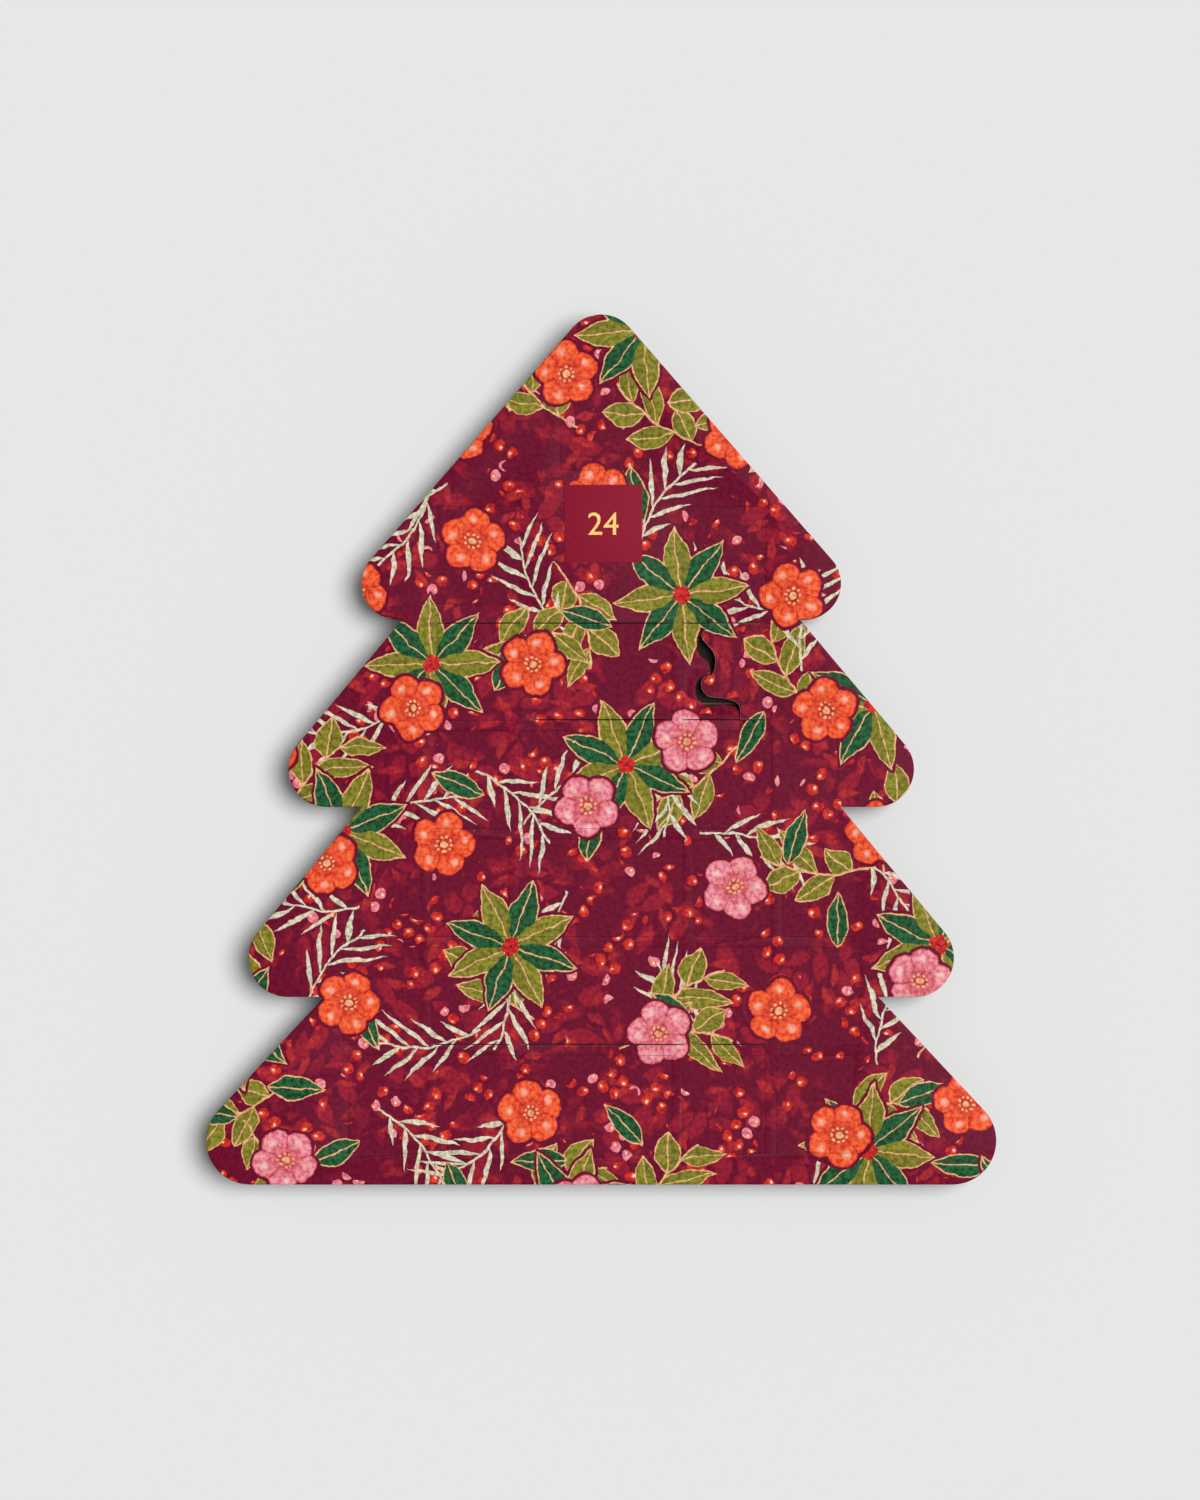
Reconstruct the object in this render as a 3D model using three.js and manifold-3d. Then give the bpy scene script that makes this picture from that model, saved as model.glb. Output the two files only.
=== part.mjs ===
// A tree-shaped chocolate advent calendar: a shallow wrapped board case that lies on its back, with 24
// windows in its printed front, a hinged door in each, and a moulded tray that holds one wrapped chocolate
// per window.
// Millimetres: +X is to the right of the front, +Y towards the top of the tree, +Z out of the front.
// The origin is on the back face, in the middle of the outline's box.

import * as THREE from 'three';
import { mergeVertices } from 'three/addons/utils/BufferGeometryUtils.js';
import Module from 'manifold-3d';

const wasm = await Module();
wasm.setup();

// Windows: the board left between two of them, the cut round a door, and their sizes
const strip = 4.4;
const cutGap = 0.3;
const windowHeight = 41.6;
const topWindowHeight = 35;
const topWindowWidth = 35;
const plainWindowWidth = 33.2;
const shoulderWindowWidth = 31.5;
const sideWindowWidth = 35.4;
const middleWindowWidth = 60.2;
const wideWindowWidth = 69.7;

// The board left under the rows, between the top tier's foot and the crown pair, between the crown pair and the
// top window, and above it
const boardUnderRows = 13.4;
const crownRise = 6.4;
const topRise = 15.4;
const boardOverRows = 31.2;

// Tree outline. The tiers are numbered from the top. A tier's foot is its underside. Its rise is measured from
// the fifth row's top for tier 1, and from the foot of the fourth and the second row for tiers 2 and 3.
const tier1Rise = 1.4;
const tier2Rise = 9.2;
const tier3Rise = 20.4;

// A notch is the inner corner where a tier's side meets the foot of the tier above. Notches 1 and 3 lie
// outside the fifth and the second row, and the third row reaches past notch 2.
const notch1Margin = 14.5;
const shoulderReach = 6.55;
const notch3Margin = 7.75;

// How far a tier's tip stands out past the notch under it, and the lowest one past the foot row
const tier1Overhang = 17.6;
const tier2Overhang = 31.2;
const tier3Overhang = 32.2;
const tier4Overhang = 60.5;
const apexRadius = 16;
const tier1TipRadius = 15.2;
const tier2TipRadius = 16.1;
const tier3TipRadius = 16.7;
const tier4TipRadius = 18.7;

// Boards of the case
const caseDepth = 16.2;
const frontBoard = 1.2;
const backBoard = 1.5;
const wallBoard = 2;
const frontEdgeRadius = 0.9;
const backInset = 1;

// Label on the front, between the two crown windows. Its rise is from their foot up to its centre.
const labelSize = 33;
const labelThickness = 0.3;
const labelRise = 34.2;
const labelShift = 0.9;

// Moulded tray
const traySheet = 0.6;
const trayClearance = 0.3;
const pocketMargin = 0.5;
const pocketDraftDegrees = 5;
const pocketCorner = 2;

// Wrapped chocolates
const chocolateHeight = 7;
const chocolateClearance = 0.8;
const chocolateEdge = 1.2;
const chocolateCorner = 2.5;

// The meeting line of the two-leaf door, from its top to its foot, as seen from the middle of its window:
// the right leaf's edge, and how far the left leaf stays away from it
const meetingLine = [
  { x: -11.5, y: 26.1, gap: 0.3 },
  { x: -8.5, y: 24.2, gap: 0.3 },
  { x: -7.6, y: 22, gap: 0.3 },
  { x: -5.7, y: 19.4, gap: 0.3 },
  { x: -7.7, y: 18, gap: 0.3 },
  { x: -9.7, y: 15.3, gap: 0.6 },
  { x: -7.7, y: 11.9, gap: 3.4 },
  { x: -4.7, y: 8.5, gap: 3.8 },
  { x: -3.6, y: 4, gap: 2.2 },
  { x: -4.9, y: -1.2, gap: 0.6 },
  { x: -8.6, y: -2.5, gap: 0.4 },
  { x: -9.7, y: -6.4, gap: 1.8 },
  { x: -6.8, y: -10.5, gap: 3 },
  { x: -0.3, y: -11.4, gap: 2 },
  { x: 5.3, y: -13.1, gap: 1.6 },
  { x: 7, y: -16.4, gap: 0.6 },
  { x: 6.9, y: -21.1, gap: 0.3 },
  { x: 7.2, y: -25, gap: 0.3 },
];

// Fineness of round shapes
const tipSteps = 24;
const apexSteps = 16;
const edgeSteps = 4;
const meetingSteps = 3;

// Heights that follow from the boards
const frontUnderside = caseDepth - frontBoard;
const pocketFloor = backBoard + traySheet;
const overshoot = 1;

// The widths of the windows in the five lower rows, from the lowest row up
const lowerRows = [
  [plainWindowWidth, sideWindowWidth, middleWindowWidth, sideWindowWidth, plainWindowWidth],
  [plainWindowWidth, plainWindowWidth, wideWindowWidth, plainWindowWidth, plainWindowWidth],
  [shoulderWindowWidth, plainWindowWidth, wideWindowWidth, plainWindowWidth, shoulderWindowWidth],
  [plainWindowWidth, wideWindowWidth, plainWindowWidth],
  [sideWindowWidth, middleWindowWidth, sideWindowWidth],
];

function rowWidth(widths) {
  return widths.reduce((sum, width) => sum + width, strip * (widths.length - 1));
}

// The foot of a lower row and half its width, counted from 1
const rowFoot = (row) => boardUnderRows + (row - 1) * (windowHeight + strip);
const rowReach = (row) => rowWidth(lowerRows[row - 1]) / 2;

// Heights above the foot of the tree
const tier1Foot = rowFoot(5) + windowHeight + tier1Rise;
const tier2Foot = rowFoot(4) + tier2Rise;
const tier3Foot = rowFoot(2) + tier3Rise;
const crownRow = tier1Foot + crownRise;
const topRow = crownRow + windowHeight + topRise;
const treeHeight = topRow + topWindowHeight + boardOverRows;

// Distances from the middle of the tree
const notch1 = rowReach(5) + notch1Margin;
const notch2 = rowReach(3) - shoulderReach;
const notch3 = rowReach(2) + notch3Margin;

const tiers = [
  { foot: tier1Foot, halfWidth: notch1 + tier1Overhang, tipRadius: tier1TipRadius },
  { foot: tier2Foot, halfWidth: notch2 + tier2Overhang, tipRadius: tier2TipRadius, notch: notch1 },
  { foot: tier3Foot, halfWidth: notch3 + tier3Overhang, tipRadius: tier3TipRadius, notch: notch2 },
  { foot: 0, halfWidth: rowReach(1) + tier4Overhang, tipRadius: tier4TipRadius, notch: notch3 },
];

// Plane geometry

// The direction, as an angle, in which a line that touches two circles on their right-hand side faces.
// A point is a circle of no radius.
function facingAngle(upper, upperRadius, lower, lowerRadius) {
  const apart = new THREE.Vector2().subVectors(lower, upper);
  const lean = Math.acos((upperRadius - lowerRadius) / apart.length());
  return apart.angle() + lean - 2 * Math.PI;
}

function onCircle(centre, radius, angle) {
  return new THREE.Vector2(centre.x + radius * Math.cos(angle), centre.y + radius * Math.sin(angle));
}

function arc(centre, radius, from, to, steps) {
  const step = (to - from) / steps;
  return Array.from({ length: steps + 1 }, (_, i) => onCircle(centre, radius, from + step * i));
}

// The tree's outline moved inwards by an inset, counter-clockwise, always with the same number of points
function treeOutline(inset) {
  const up = Math.PI / 2;
  const down = -Math.PI / 2;
  const apex = new THREE.Vector2(0, treeHeight - apexRadius);
  const right = [];
  tiers.forEach((tier, i) => {
    const tip = new THREE.Vector2(tier.halfWidth - tier.tipRadius, tier.foot + tier.tipRadius);
    const isTop = i === 0;
    const start = isTop ? apex : new THREE.Vector2(tier.notch, tiers[i - 1].foot);
    const facing = facingAngle(start, isTop ? apexRadius : 0, tip, tier.tipRadius);
    if (isTop) {
      right.push(...arc(apex, apexRadius - inset, up, facing, apexSteps));
    } else {
      const y = start.y + inset;
      const x = start.x - (inset + inset * Math.sin(facing)) / Math.cos(facing);
      right.push(new THREE.Vector2(x, y));
    }
    right.push(...arc(tip, tier.tipRadius - inset, facing, down, tipSteps));
  });
  const left = right.slice(1).map((p) => new THREE.Vector2(-p.x, p.y));
  return [...right.reverse(), ...left].map((p) => new THREE.Vector2(p.x, p.y - treeHeight / 2));
}

// A rectangle with its corners cut off, counter-clockwise
function cutRectangle(centre, width, height, corner) {
  const x = width / 2;
  const y = height / 2;
  const points = [
    [x, -y + corner],
    [x, y - corner],
    [x - corner, y],
    [-x + corner, y],
    [-x, y - corner],
    [-x, -y + corner],
    [-x + corner, -y],
    [x - corner, -y],
  ];
  return points.map(([px, py]) => new THREE.Vector2(centre.x + px, centre.y + py));
}

function rectangle(centre, width, height) {
  const x = width / 2;
  const y = height / 2;
  const points = [[x, -y], [x, y], [-x, y], [-x, -y]];
  return points.map(([px, py]) => new THREE.Vector2(centre.x + px, centre.y + py));
}

// Solids

function toSolid(geometry) {
  const bare = geometry.clone();
  bare.deleteAttribute('normal');
  bare.deleteAttribute('uv');
  const merged = mergeVertices(bare, 1e-4);
  return new wasm.Manifold(new wasm.Mesh({
    numProp: 3,
    vertProperties: new Float32Array(merged.attributes.position.array),
    triVerts: new Uint32Array(merged.index.array),
  }));
}

function toGeometry(solid) {
  const mesh = solid.getMesh();
  const geometry = new THREE.BufferGeometry();
  geometry.setAttribute('position', new THREE.BufferAttribute(new Float32Array(mesh.vertProperties), 3));
  geometry.setIndex(new THREE.BufferAttribute(new Uint32Array(mesh.triVerts), 1));
  geometry.computeVertexNormals();
  return geometry;
}

// A closed body through a pile of outlines that have equally many points, from the lowest up
function pile(layers) {
  const count = layers[0].outline.length;
  const position = layers.flatMap(({ outline, z }) => outline.flatMap((p) => [p.x, p.y, z]));
  const index = [];
  for (let layer = 0; layer + 1 < layers.length; layer += 1) {
    for (let i = 0; i < count; i += 1) {
      const a = layer * count + i;
      const b = layer * count + ((i + 1) % count);
      index.push(a, b, b + count, a, b + count, a + count);
    }
  }
  const lid = (layers.length - 1) * count;
  for (const [a, b, c] of THREE.ShapeUtils.triangulateShape(layers[0].outline, [])) {
    index.push(c, b, a);
  }
  for (const [a, b, c] of THREE.ShapeUtils.triangulateShape(layers.at(-1).outline, [])) {
    index.push(lid + a, lid + b, lid + c);
  }
  const geometry = new THREE.BufferGeometry();
  geometry.setAttribute('position', new THREE.Float32BufferAttribute(position, 3));
  geometry.setIndex(index);
  geometry.computeVertexNormals();
  return geometry;
}

function slab(outline, low, high) {
  return pile([{ outline, z: low }, { outline, z: high }]);
}

// Windows, numbered from the foot of the tree upwards and from left to right; the two-leaf door is the last

function rowOfWindows(foot, height, widths) {
  let left = -rowWidth(widths) / 2;
  return widths.map((width) => {
    const centre = new THREE.Vector2(left + width / 2, foot + height / 2 - treeHeight / 2);
    left += width + strip;
    return { centre, width, height };
  });
}

const lowerWindows = lowerRows.flatMap((widths, i) => rowOfWindows(rowFoot(i + 1), windowHeight, widths));
const twoLeafWindow = lowerWindows.pop();
const leftOfMiddle = lowerWindows.at(-2);
const crownPair = [leftOfMiddle, twoLeafWindow].map(({ centre, width, height }) => ({
  centre: new THREE.Vector2(centre.x, crownRow + height / 2 - treeHeight / 2),
  width,
  height,
}));
const topWindow = rowOfWindows(topRow, topWindowHeight, [topWindowWidth]);

const singleWindows = [...lowerWindows, ...crownPair, ...topWindow];
const windows = [...singleWindows, twoLeafWindow];

// The meeting line's two edges, as points from the top down

function meetingEdges(centre) {
  const line = new THREE.SplineCurve(meetingLine.map((p) => new THREE.Vector2(p.x, p.y)));
  const gaps = new THREE.SplineCurve(meetingLine.map((p, i) => new THREE.Vector2(i, p.gap)));
  const count = (meetingLine.length - 1) * meetingSteps;
  const right = [];
  const left = [];
  for (let i = 0; i <= count; i += 1) {
    const point = line.getPoint(i / count);
    const along = line.getTangent(i / count);
    const gap = Math.max(gaps.getPoint(i / count).y, cutGap);
    right.push(new THREE.Vector2(centre.x + point.x, centre.y + point.y));
    left.push(new THREE.Vector2(centre.x + point.x + along.y * gap, centre.y + point.y - along.x * gap));
  }
  return { left, right };
}

// The ground on one side of an edge, past the window in every direction. A leaf is what the door has in it.
function groundBeside(edge, window, side) {
  const far = window.width + window.height;
  const first = edge[0];
  const last = edge.at(-1);
  return [
    ...edge,
    new THREE.Vector2(last.x, window.centre.y - far),
    new THREE.Vector2(window.centre.x + side * far, window.centre.y - far),
    new THREE.Vector2(window.centre.x + side * far, window.centre.y + far),
    new THREE.Vector2(first.x, window.centre.y + far),
  ];
}

// Materials

function finish(color, roughness, metalness = 0) {
  return () => new THREE.MeshStandardMaterial({ color, roughness, metalness });
}

const printedBoard = finish(0x6e1735, 0.55);
const plainBoard = finish(0xd9cfbd, 0.85);
const labelPaper = finish(0x8e1b31, 0.5);
const trayPlastic = finish(0x35211a, 0.35);
const wraps = [
  finish(0xc8953c, 0.32, 0.8),
  finish(0x8e1b31, 0.35, 0.7),
  finish(0xe8dcc0, 0.45, 0.2),
  finish(0x1c6b40, 0.35, 0.7),
];

const calendar = new THREE.Group();

function addPiece(name, geometry, material) {
  const mesh = new THREE.Mesh(geometry, material());
  mesh.name = name;
  calendar.add(mesh);
}

const twoDigits = (number) => String(number).padStart(2, '0');

// Case: back panel, side wall and front panel

function makeBackPanel() {
  return slab(treeOutline(backInset), 0, backBoard);
}

function makeSideWall() {
  const outer = toSolid(slab(treeOutline(0), backBoard, frontUnderside));
  const hollow = toSolid(slab(treeOutline(wallBoard), backBoard - overshoot, frontUnderside + overshoot));
  return toGeometry(outer.subtract(hollow));
}

function makeFrontPanel() {
  const layers = [{ outline: treeOutline(0), z: frontUnderside }];
  for (let i = 0; i <= edgeSteps; i += 1) {
    const turn = (i / edgeSteps) * (Math.PI / 2);
    const inset = frontEdgeRadius * (1 - Math.cos(turn));
    layers.push({ outline: treeOutline(inset), z: caseDepth - frontEdgeRadius * (1 - Math.sin(turn)) });
  }
  let board = toSolid(pile(layers));
  const low = frontUnderside - overshoot;
  const high = caseDepth + overshoot;
  for (const { centre, width, height } of windows) {
    board = board.subtract(toSolid(slab(rectangle(centre, width, height), low, high)));
  }
  const { left, right } = meetingEdges(twoLeafWindow.centre);
  return toGeometry(board.subtract(toSolid(slab([...left, ...right.reverse()], low, high))));
}

// Doors

function makeDoor({ centre, width, height }) {
  return slab(rectangle(centre, width - 2 * cutGap, height - 2 * cutGap), frontUnderside, caseDepth);
}

function makeLeaf(edge, side) {
  const door = toSolid(makeDoor(twoLeafWindow));
  const ground = groundBeside(edge, twoLeafWindow, side);
  if (side < 0) {
    ground.reverse();
  }
  const half = toSolid(slab(ground, frontUnderside - overshoot, caseDepth + overshoot));
  return toGeometry(door.intersect(half));
}

// Tray: a sheet under the front panel, with a drafted pocket behind each window that stands on the back

const pocketDraft = Math.tan(THREE.MathUtils.degToRad(pocketDraftDegrees));

function pocketOutline({ centre, width, height }, z, wall) {
  const shrink = 2 * (pocketMargin + pocketDraft * (frontUnderside - z) - wall);
  return cutRectangle(centre, width - shrink, height - shrink, pocketCorner);
}

function makeTray() {
  const sheetOutline = treeOutline(wallBoard + trayClearance);
  let tray = toSolid(slab(sheetOutline, frontUnderside - traySheet, frontUnderside));
  const insideSheet = frontUnderside - traySheet / 2;
  for (const window of windows) {
    tray = tray.add(toSolid(pile([
      { outline: pocketOutline(window, backBoard, traySheet), z: backBoard },
      { outline: pocketOutline(window, insideSheet, traySheet), z: insideSheet },
    ])));
  }
  for (const window of windows) {
    tray = tray.subtract(toSolid(pile([
      { outline: pocketOutline(window, pocketFloor, 0), z: pocketFloor },
      { outline: pocketOutline(window, frontUnderside + overshoot, 0), z: frontUnderside + overshoot },
    ])));
  }
  return toGeometry(tray);
}

// Chocolates: wrapped bars that fill the floor of their pockets

function makeChocolate({ centre, width, height }) {
  const shrink = 2 * (pocketMargin + pocketDraft * (frontUnderside - pocketFloor) + chocolateClearance);
  const barOutline = (inset) => cutRectangle(
    centre,
    width - shrink - 2 * inset,
    height - shrink - 2 * inset,
    chocolateCorner,
  );
  return pile([
    { outline: barOutline(chocolateEdge), z: pocketFloor },
    { outline: barOutline(0), z: pocketFloor + chocolateEdge },
    { outline: barOutline(0), z: pocketFloor + chocolateHeight - chocolateEdge },
    { outline: barOutline(chocolateEdge), z: pocketFloor + chocolateHeight },
  ]);
}

function makeLabel() {
  const centre = new THREE.Vector2(labelShift, crownRow + labelRise - treeHeight / 2);
  return slab(rectangle(centre, labelSize, labelSize), caseDepth, caseDepth + labelThickness);
}

addPiece('back_panel', makeBackPanel(), plainBoard);
addPiece('side_wall', makeSideWall(), printedBoard);
addPiece('front_panel', makeFrontPanel(), printedBoard);
addPiece('pocket_tray', makeTray(), trayPlastic);
addPiece('label', makeLabel(), labelPaper);

singleWindows.forEach((window, i) => {
  addPiece(`door_${twoDigits(i + 1)}`, makeDoor(window), printedBoard);
});
const leafEdges = meetingEdges(twoLeafWindow.centre);
addPiece(`door_${windows.length}_left`, makeLeaf(leafEdges.left, -1), printedBoard);
addPiece(`door_${windows.length}_right`, makeLeaf(leafEdges.right, 1), printedBoard);

windows.forEach((window, i) => {
  addPiece(`chocolate_${twoDigits(i + 1)}`, makeChocolate(window), wraps[i % wraps.length]);
});

export default calendar;
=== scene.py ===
# %% [markdown]
# # A tree-shaped chocolate advent calendar
# The calendar is a shallow board case in the outline of a four-tier Christmas tree. It lies on its back. Its front
# is printed with winter leaves and blossoms and die-cut into doors, and behind each door a moulded tray holds a
# wrapped chocolate. The CAD model already has every piece at its real size, so this lesson dresses those pieces:
# it rounds what a hand would feel as rounded, bends the card a little, and paints paper, card, foil and plastic.

# %% Load the frame
import math
import random

import bmesh
import bpy
from mathutils import Matrix, Vector


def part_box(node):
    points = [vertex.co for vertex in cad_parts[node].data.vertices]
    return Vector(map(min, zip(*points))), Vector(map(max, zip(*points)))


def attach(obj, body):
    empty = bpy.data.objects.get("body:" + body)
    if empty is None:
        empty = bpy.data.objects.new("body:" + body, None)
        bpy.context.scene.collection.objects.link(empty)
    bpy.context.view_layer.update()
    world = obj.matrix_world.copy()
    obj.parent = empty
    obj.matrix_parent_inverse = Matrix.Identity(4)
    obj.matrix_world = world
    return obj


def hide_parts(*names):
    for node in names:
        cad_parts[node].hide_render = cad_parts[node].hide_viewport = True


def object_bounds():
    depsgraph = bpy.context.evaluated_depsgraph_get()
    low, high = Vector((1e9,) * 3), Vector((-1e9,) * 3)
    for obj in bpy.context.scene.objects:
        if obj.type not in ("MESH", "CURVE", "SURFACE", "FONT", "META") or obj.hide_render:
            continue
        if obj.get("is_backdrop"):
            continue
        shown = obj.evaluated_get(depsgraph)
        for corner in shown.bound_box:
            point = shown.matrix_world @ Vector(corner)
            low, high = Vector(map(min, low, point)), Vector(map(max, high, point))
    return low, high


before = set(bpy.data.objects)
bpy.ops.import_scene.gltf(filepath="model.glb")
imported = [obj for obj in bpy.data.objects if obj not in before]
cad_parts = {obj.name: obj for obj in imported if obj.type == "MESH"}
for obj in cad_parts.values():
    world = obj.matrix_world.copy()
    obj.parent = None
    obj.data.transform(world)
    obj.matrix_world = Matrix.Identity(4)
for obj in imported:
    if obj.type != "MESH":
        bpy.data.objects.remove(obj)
cad_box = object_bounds()
MM = 0.001

# %% [markdown]
# ## Camera
# The picture is taken from straight above, and the tree shows hardly any perspective. An orthographic camera would
# come close, but a long lens two metres up also shows a little of the walls, as a real one does. The picture's long
# side takes in 637.5 mm at the height of the printed front, and the tree's middle is half a millimetre off its own.

# %% Camera
FRONT = 16.2 * MM
LONG_SIDE = 637.5 * MM
CAMERA_RISE = 2.0
CAMERA_SHIFT = (-0.5 * MM, -0.2 * MM)

camera_data = bpy.data.cameras.new("camera")
camera_data.sensor_width = 36
camera_data.lens = camera_data.sensor_width * CAMERA_RISE / LONG_SIDE
camera_data.clip_start = 0.1
camera_data.clip_end = 50
camera = bpy.data.objects.new("camera", camera_data)
camera.location = (*CAMERA_SHIFT, FRONT + CAMERA_RISE)
bpy.context.scene.collection.objects.link(camera)
bpy.context.scene.camera = camera
print(f"a {camera_data.lens:.0f} mm lens {CAMERA_RISE} m above the front")

# %% [markdown]
# ## Adding nodes and colours
# Every finish below is a small net of shader nodes. One helper adds a node, changes its settings and fills its
# sockets: a value is typed in and a node or a socket is linked. Colours are written as they look on a screen, in
# sRGB hex, and one function turns them into the linear values that a renderer adds up. Patterns are measured in
# millimetres on the object itself, because then they stay put when a door turns.

# %% Node helper and colours
def add(tree, kind, inputs=(), **settings):
    """Adds a shader node. Inputs are listed in order, or keyed by name or place."""
    node = tree.nodes.new(kind if kind.startswith("Node") else "ShaderNode" + kind)
    for name, value in settings.items():
        setattr(node, name, value)
    filled = inputs.items() if isinstance(inputs, dict) else enumerate(inputs)
    for key, value in filled:
        if isinstance(value, bpy.types.Node):
            value = next(s for s in value.outputs if s.enabled)
        if isinstance(value, bpy.types.NodeSocket):
            tree.links.new(node.inputs[key], value)
        elif value is not None:
            node.inputs[key].default_value = value
    return node


def linear(code):
    """The linear RGBA value of an sRGB hex colour."""
    parts = [int(code[i : i + 2], 16) / 255 for i in (1, 3, 5)]
    return [c / 12.92 if c <= 0.04045 else ((c + 0.055) / 1.055) ** 2.4 for c in parts] + [1]


def new_material(name):
    """An empty node material and its tree."""
    material = bpy.data.materials.new(name)
    material.use_nodes = True
    material.node_tree.nodes.clear()
    return material, material.node_tree


def places_in_mm(tree):
    """The object's own coordinates in millimetres, so that a scale of 1 is a pattern of about a millimetre."""
    coords = add(tree, "TexCoord")
    return add(tree, "VectorMath", {0: coords.outputs["Object"], 3: 1000.0}, operation="SCALE")


def two_tones(tree, pattern, low, high, dark, light):
    """A colour that goes from a dark tone to a light one as the pattern's value goes from low to high."""
    level = add(tree, "MapRange", [pattern, low, high, 0.0, 1.0])
    return add(tree, "Mix", {0: level, 6: linear(dark), 7: linear(light)}, data_type="RGBA")


print("wine ground in linear light:", [round(v, 3) for v in linear("#6e1735")])

# %% [markdown]
# ## Floor and light
# A product picture like this one is lit by one large soft lamp and a bright room. The shadow lies left of the tree
# and a little under it, black where the wall meets the floor and gone 16 mm away, so the lamp stands high on the
# right and is as wide as a softbox at arm's length. A sun lamp with a wide angle does that without making one side
# of the floor brighter, which an area lamp would. Lamp and room together add up to one, so that a colour renders
# about as it is written.

# %% Floor and light
LAMP_SHARE = 0.78
LAMP_TILT = math.radians(26)
LAMP_BEARING = math.radians(15)
LAMP_WIDTH = math.radians(40)
FLOOR_HALF = 8

floor_mesh = bmesh.new()
bmesh.ops.create_grid(floor_mesh, x_segments=1, y_segments=1, size=FLOOR_HALF)
floor_data = bpy.data.meshes.new("floor")
floor_mesh.to_mesh(floor_data)
floor_mesh.free()
floor = bpy.data.objects.new("floor", floor_data)
bpy.context.scene.collection.objects.link(floor)
floor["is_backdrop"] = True

# A roll of matt paper: it scatters light evenly, so that nothing but the shadow shows on it
paper_sweep, tree = new_material("matt_paper_sweep")
shader = add(tree, "BsdfPrincipled", {"Base Color": linear("#e7e7e7"), "Roughness": 0.9, "Specular IOR Level": 0.1})
add(tree, "OutputMaterial", [shader])
floor_data.materials.append(paper_sweep)

lamp_data = bpy.data.lights.new("softbox", "SUN")
lamp_data.angle = LAMP_WIDTH
lamp_data.energy = LAMP_SHARE * math.pi / math.cos(LAMP_TILT)
lamp = bpy.data.objects.new("softbox", lamp_data)
lamp.rotation_euler = (0, LAMP_TILT, LAMP_BEARING)
bpy.context.scene.collection.objects.link(lamp)

room = bpy.data.worlds.new("room")
room.use_nodes = True
room.node_tree.nodes["Background"].inputs["Color"].default_value = (1, 1, 1, 1)
room.node_tree.nodes["Background"].inputs["Strength"].default_value = 1 - LAMP_SHARE
bpy.context.scene.world = room
bpy.context.scene.view_settings.view_transform = "Standard"
print(f"the lamp gives {LAMP_SHARE:.0%} of the light")

# %% [markdown]
# ## The print, part 1: a leaf
# The front carries a painted winter pattern of smooth leaves, needles, blossoms and berries. A picture could be laid
# over it, but node groups that work in millimetres stay sharp at any distance and need no file. Each motif has a
# group, and all of the print's measures are in millimetres. The first group is a single blade. Its edge is a
# parabola on each side of the midrib, and the signed distance to that edge, negative inside, gives the fill and the
# outline.

# %% Blade group
def new_group(name, inputs, outputs):
    """A node group with float or vector sockets, and its input node."""
    group = bpy.data.node_groups.new(name, "ShaderNodeTree")
    for side, sockets in (("INPUT", inputs), ("OUTPUT", outputs)):
        for socket in sockets:
            kind = "NodeSocketVector" if socket == "Place" else "NodeSocketFloat"
            group.interface.new_socket(socket, in_out=side, socket_type=kind)
    return group, add(group, "NodeGroupInput")


MIDRIB_HALF = 0.28
VEIN_SPACING = 3.0
VEIN_SHARE = 0.18  # of the spacing
VEIN_SLANT = 1.1

blade, given = new_group("blade", ["Place", "Half length", "Half width"], ["Distance", "Midrib", "Shade"])
place, half_length, half_width = given.outputs[:3]
xyz = add(blade, "SeparateXYZ", [place])
along = add(blade, "Math", [xyz.outputs[0], half_length], operation="DIVIDE")
across = add(blade, "Math", [xyz.outputs[1]], operation="ABSOLUTE")
squared = add(blade, "Math", [along, along], operation="MULTIPLY")
swell = add(blade, "Math", [1.0, squared], operation="SUBTRACT", use_clamp=True)
# A leaf is fullest a little before its middle
lean = add(blade, "Math", [along, -0.3, 1.0], operation="MULTIPLY_ADD")
shaped = add(blade, "Math", [swell, lean], operation="MULTIPLY")
edge = add(blade, "Math", [shaped, half_width], operation="MULTIPLY")
beside = add(blade, "Math", [across, edge], operation="SUBTRACT")
far = add(blade, "Math", [xyz.outputs[0]], operation="ABSOLUTE")
past_tip = add(blade, "Math", [far, half_length], operation="SUBTRACT")
past_tip = add(blade, "Math", [past_tip, 0.0], operation="MAXIMUM")
distance = add(blade, "Math", [beside, past_tip], operation="ADD")
# The midrib stops short of both ends
short = add(blade, "Math", [swell, 0.12], operation="GREATER_THAN")
fine = add(blade, "Math", [across, MIDRIB_HALF], operation="LESS_THAN")
midrib = add(blade, "Math", [short, fine], operation="MULTIPLY")
# Side veins leave it at a slant, and one half of the leaf lies in shade
slant = add(blade, "Math", [across, -VEIN_SLANT, xyz.outputs[0]], operation="MULTIPLY_ADD")
repeat = add(blade, "Math", [slant, VEIN_SPACING], operation="DIVIDE")
share = add(blade, "Math", [repeat], operation="FRACT")
vein = add(blade, "Math", [share, VEIN_SHARE], operation="LESS_THAN")
lower = add(blade, "Math", [xyz.outputs[1], 0.0], operation="LESS_THAN")
shade = add(blade, "Math", [vein, lower], operation="ADD")
add(blade, "NodeGroupOutput", [distance, midrib, shade])
print("blade:", len(blade.nodes), "nodes")

# %% [markdown]
# ## The print, part 2: scattering a motif
# A Voronoi texture is a cheap way to repeat a motif without a grid showing: each point finds its nearest cell
# centre, and its place relative to that centre is where it lies in the motif. The cell's colour is a bag of
# random numbers. One turns the motif and the others choose between its variants.

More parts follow.
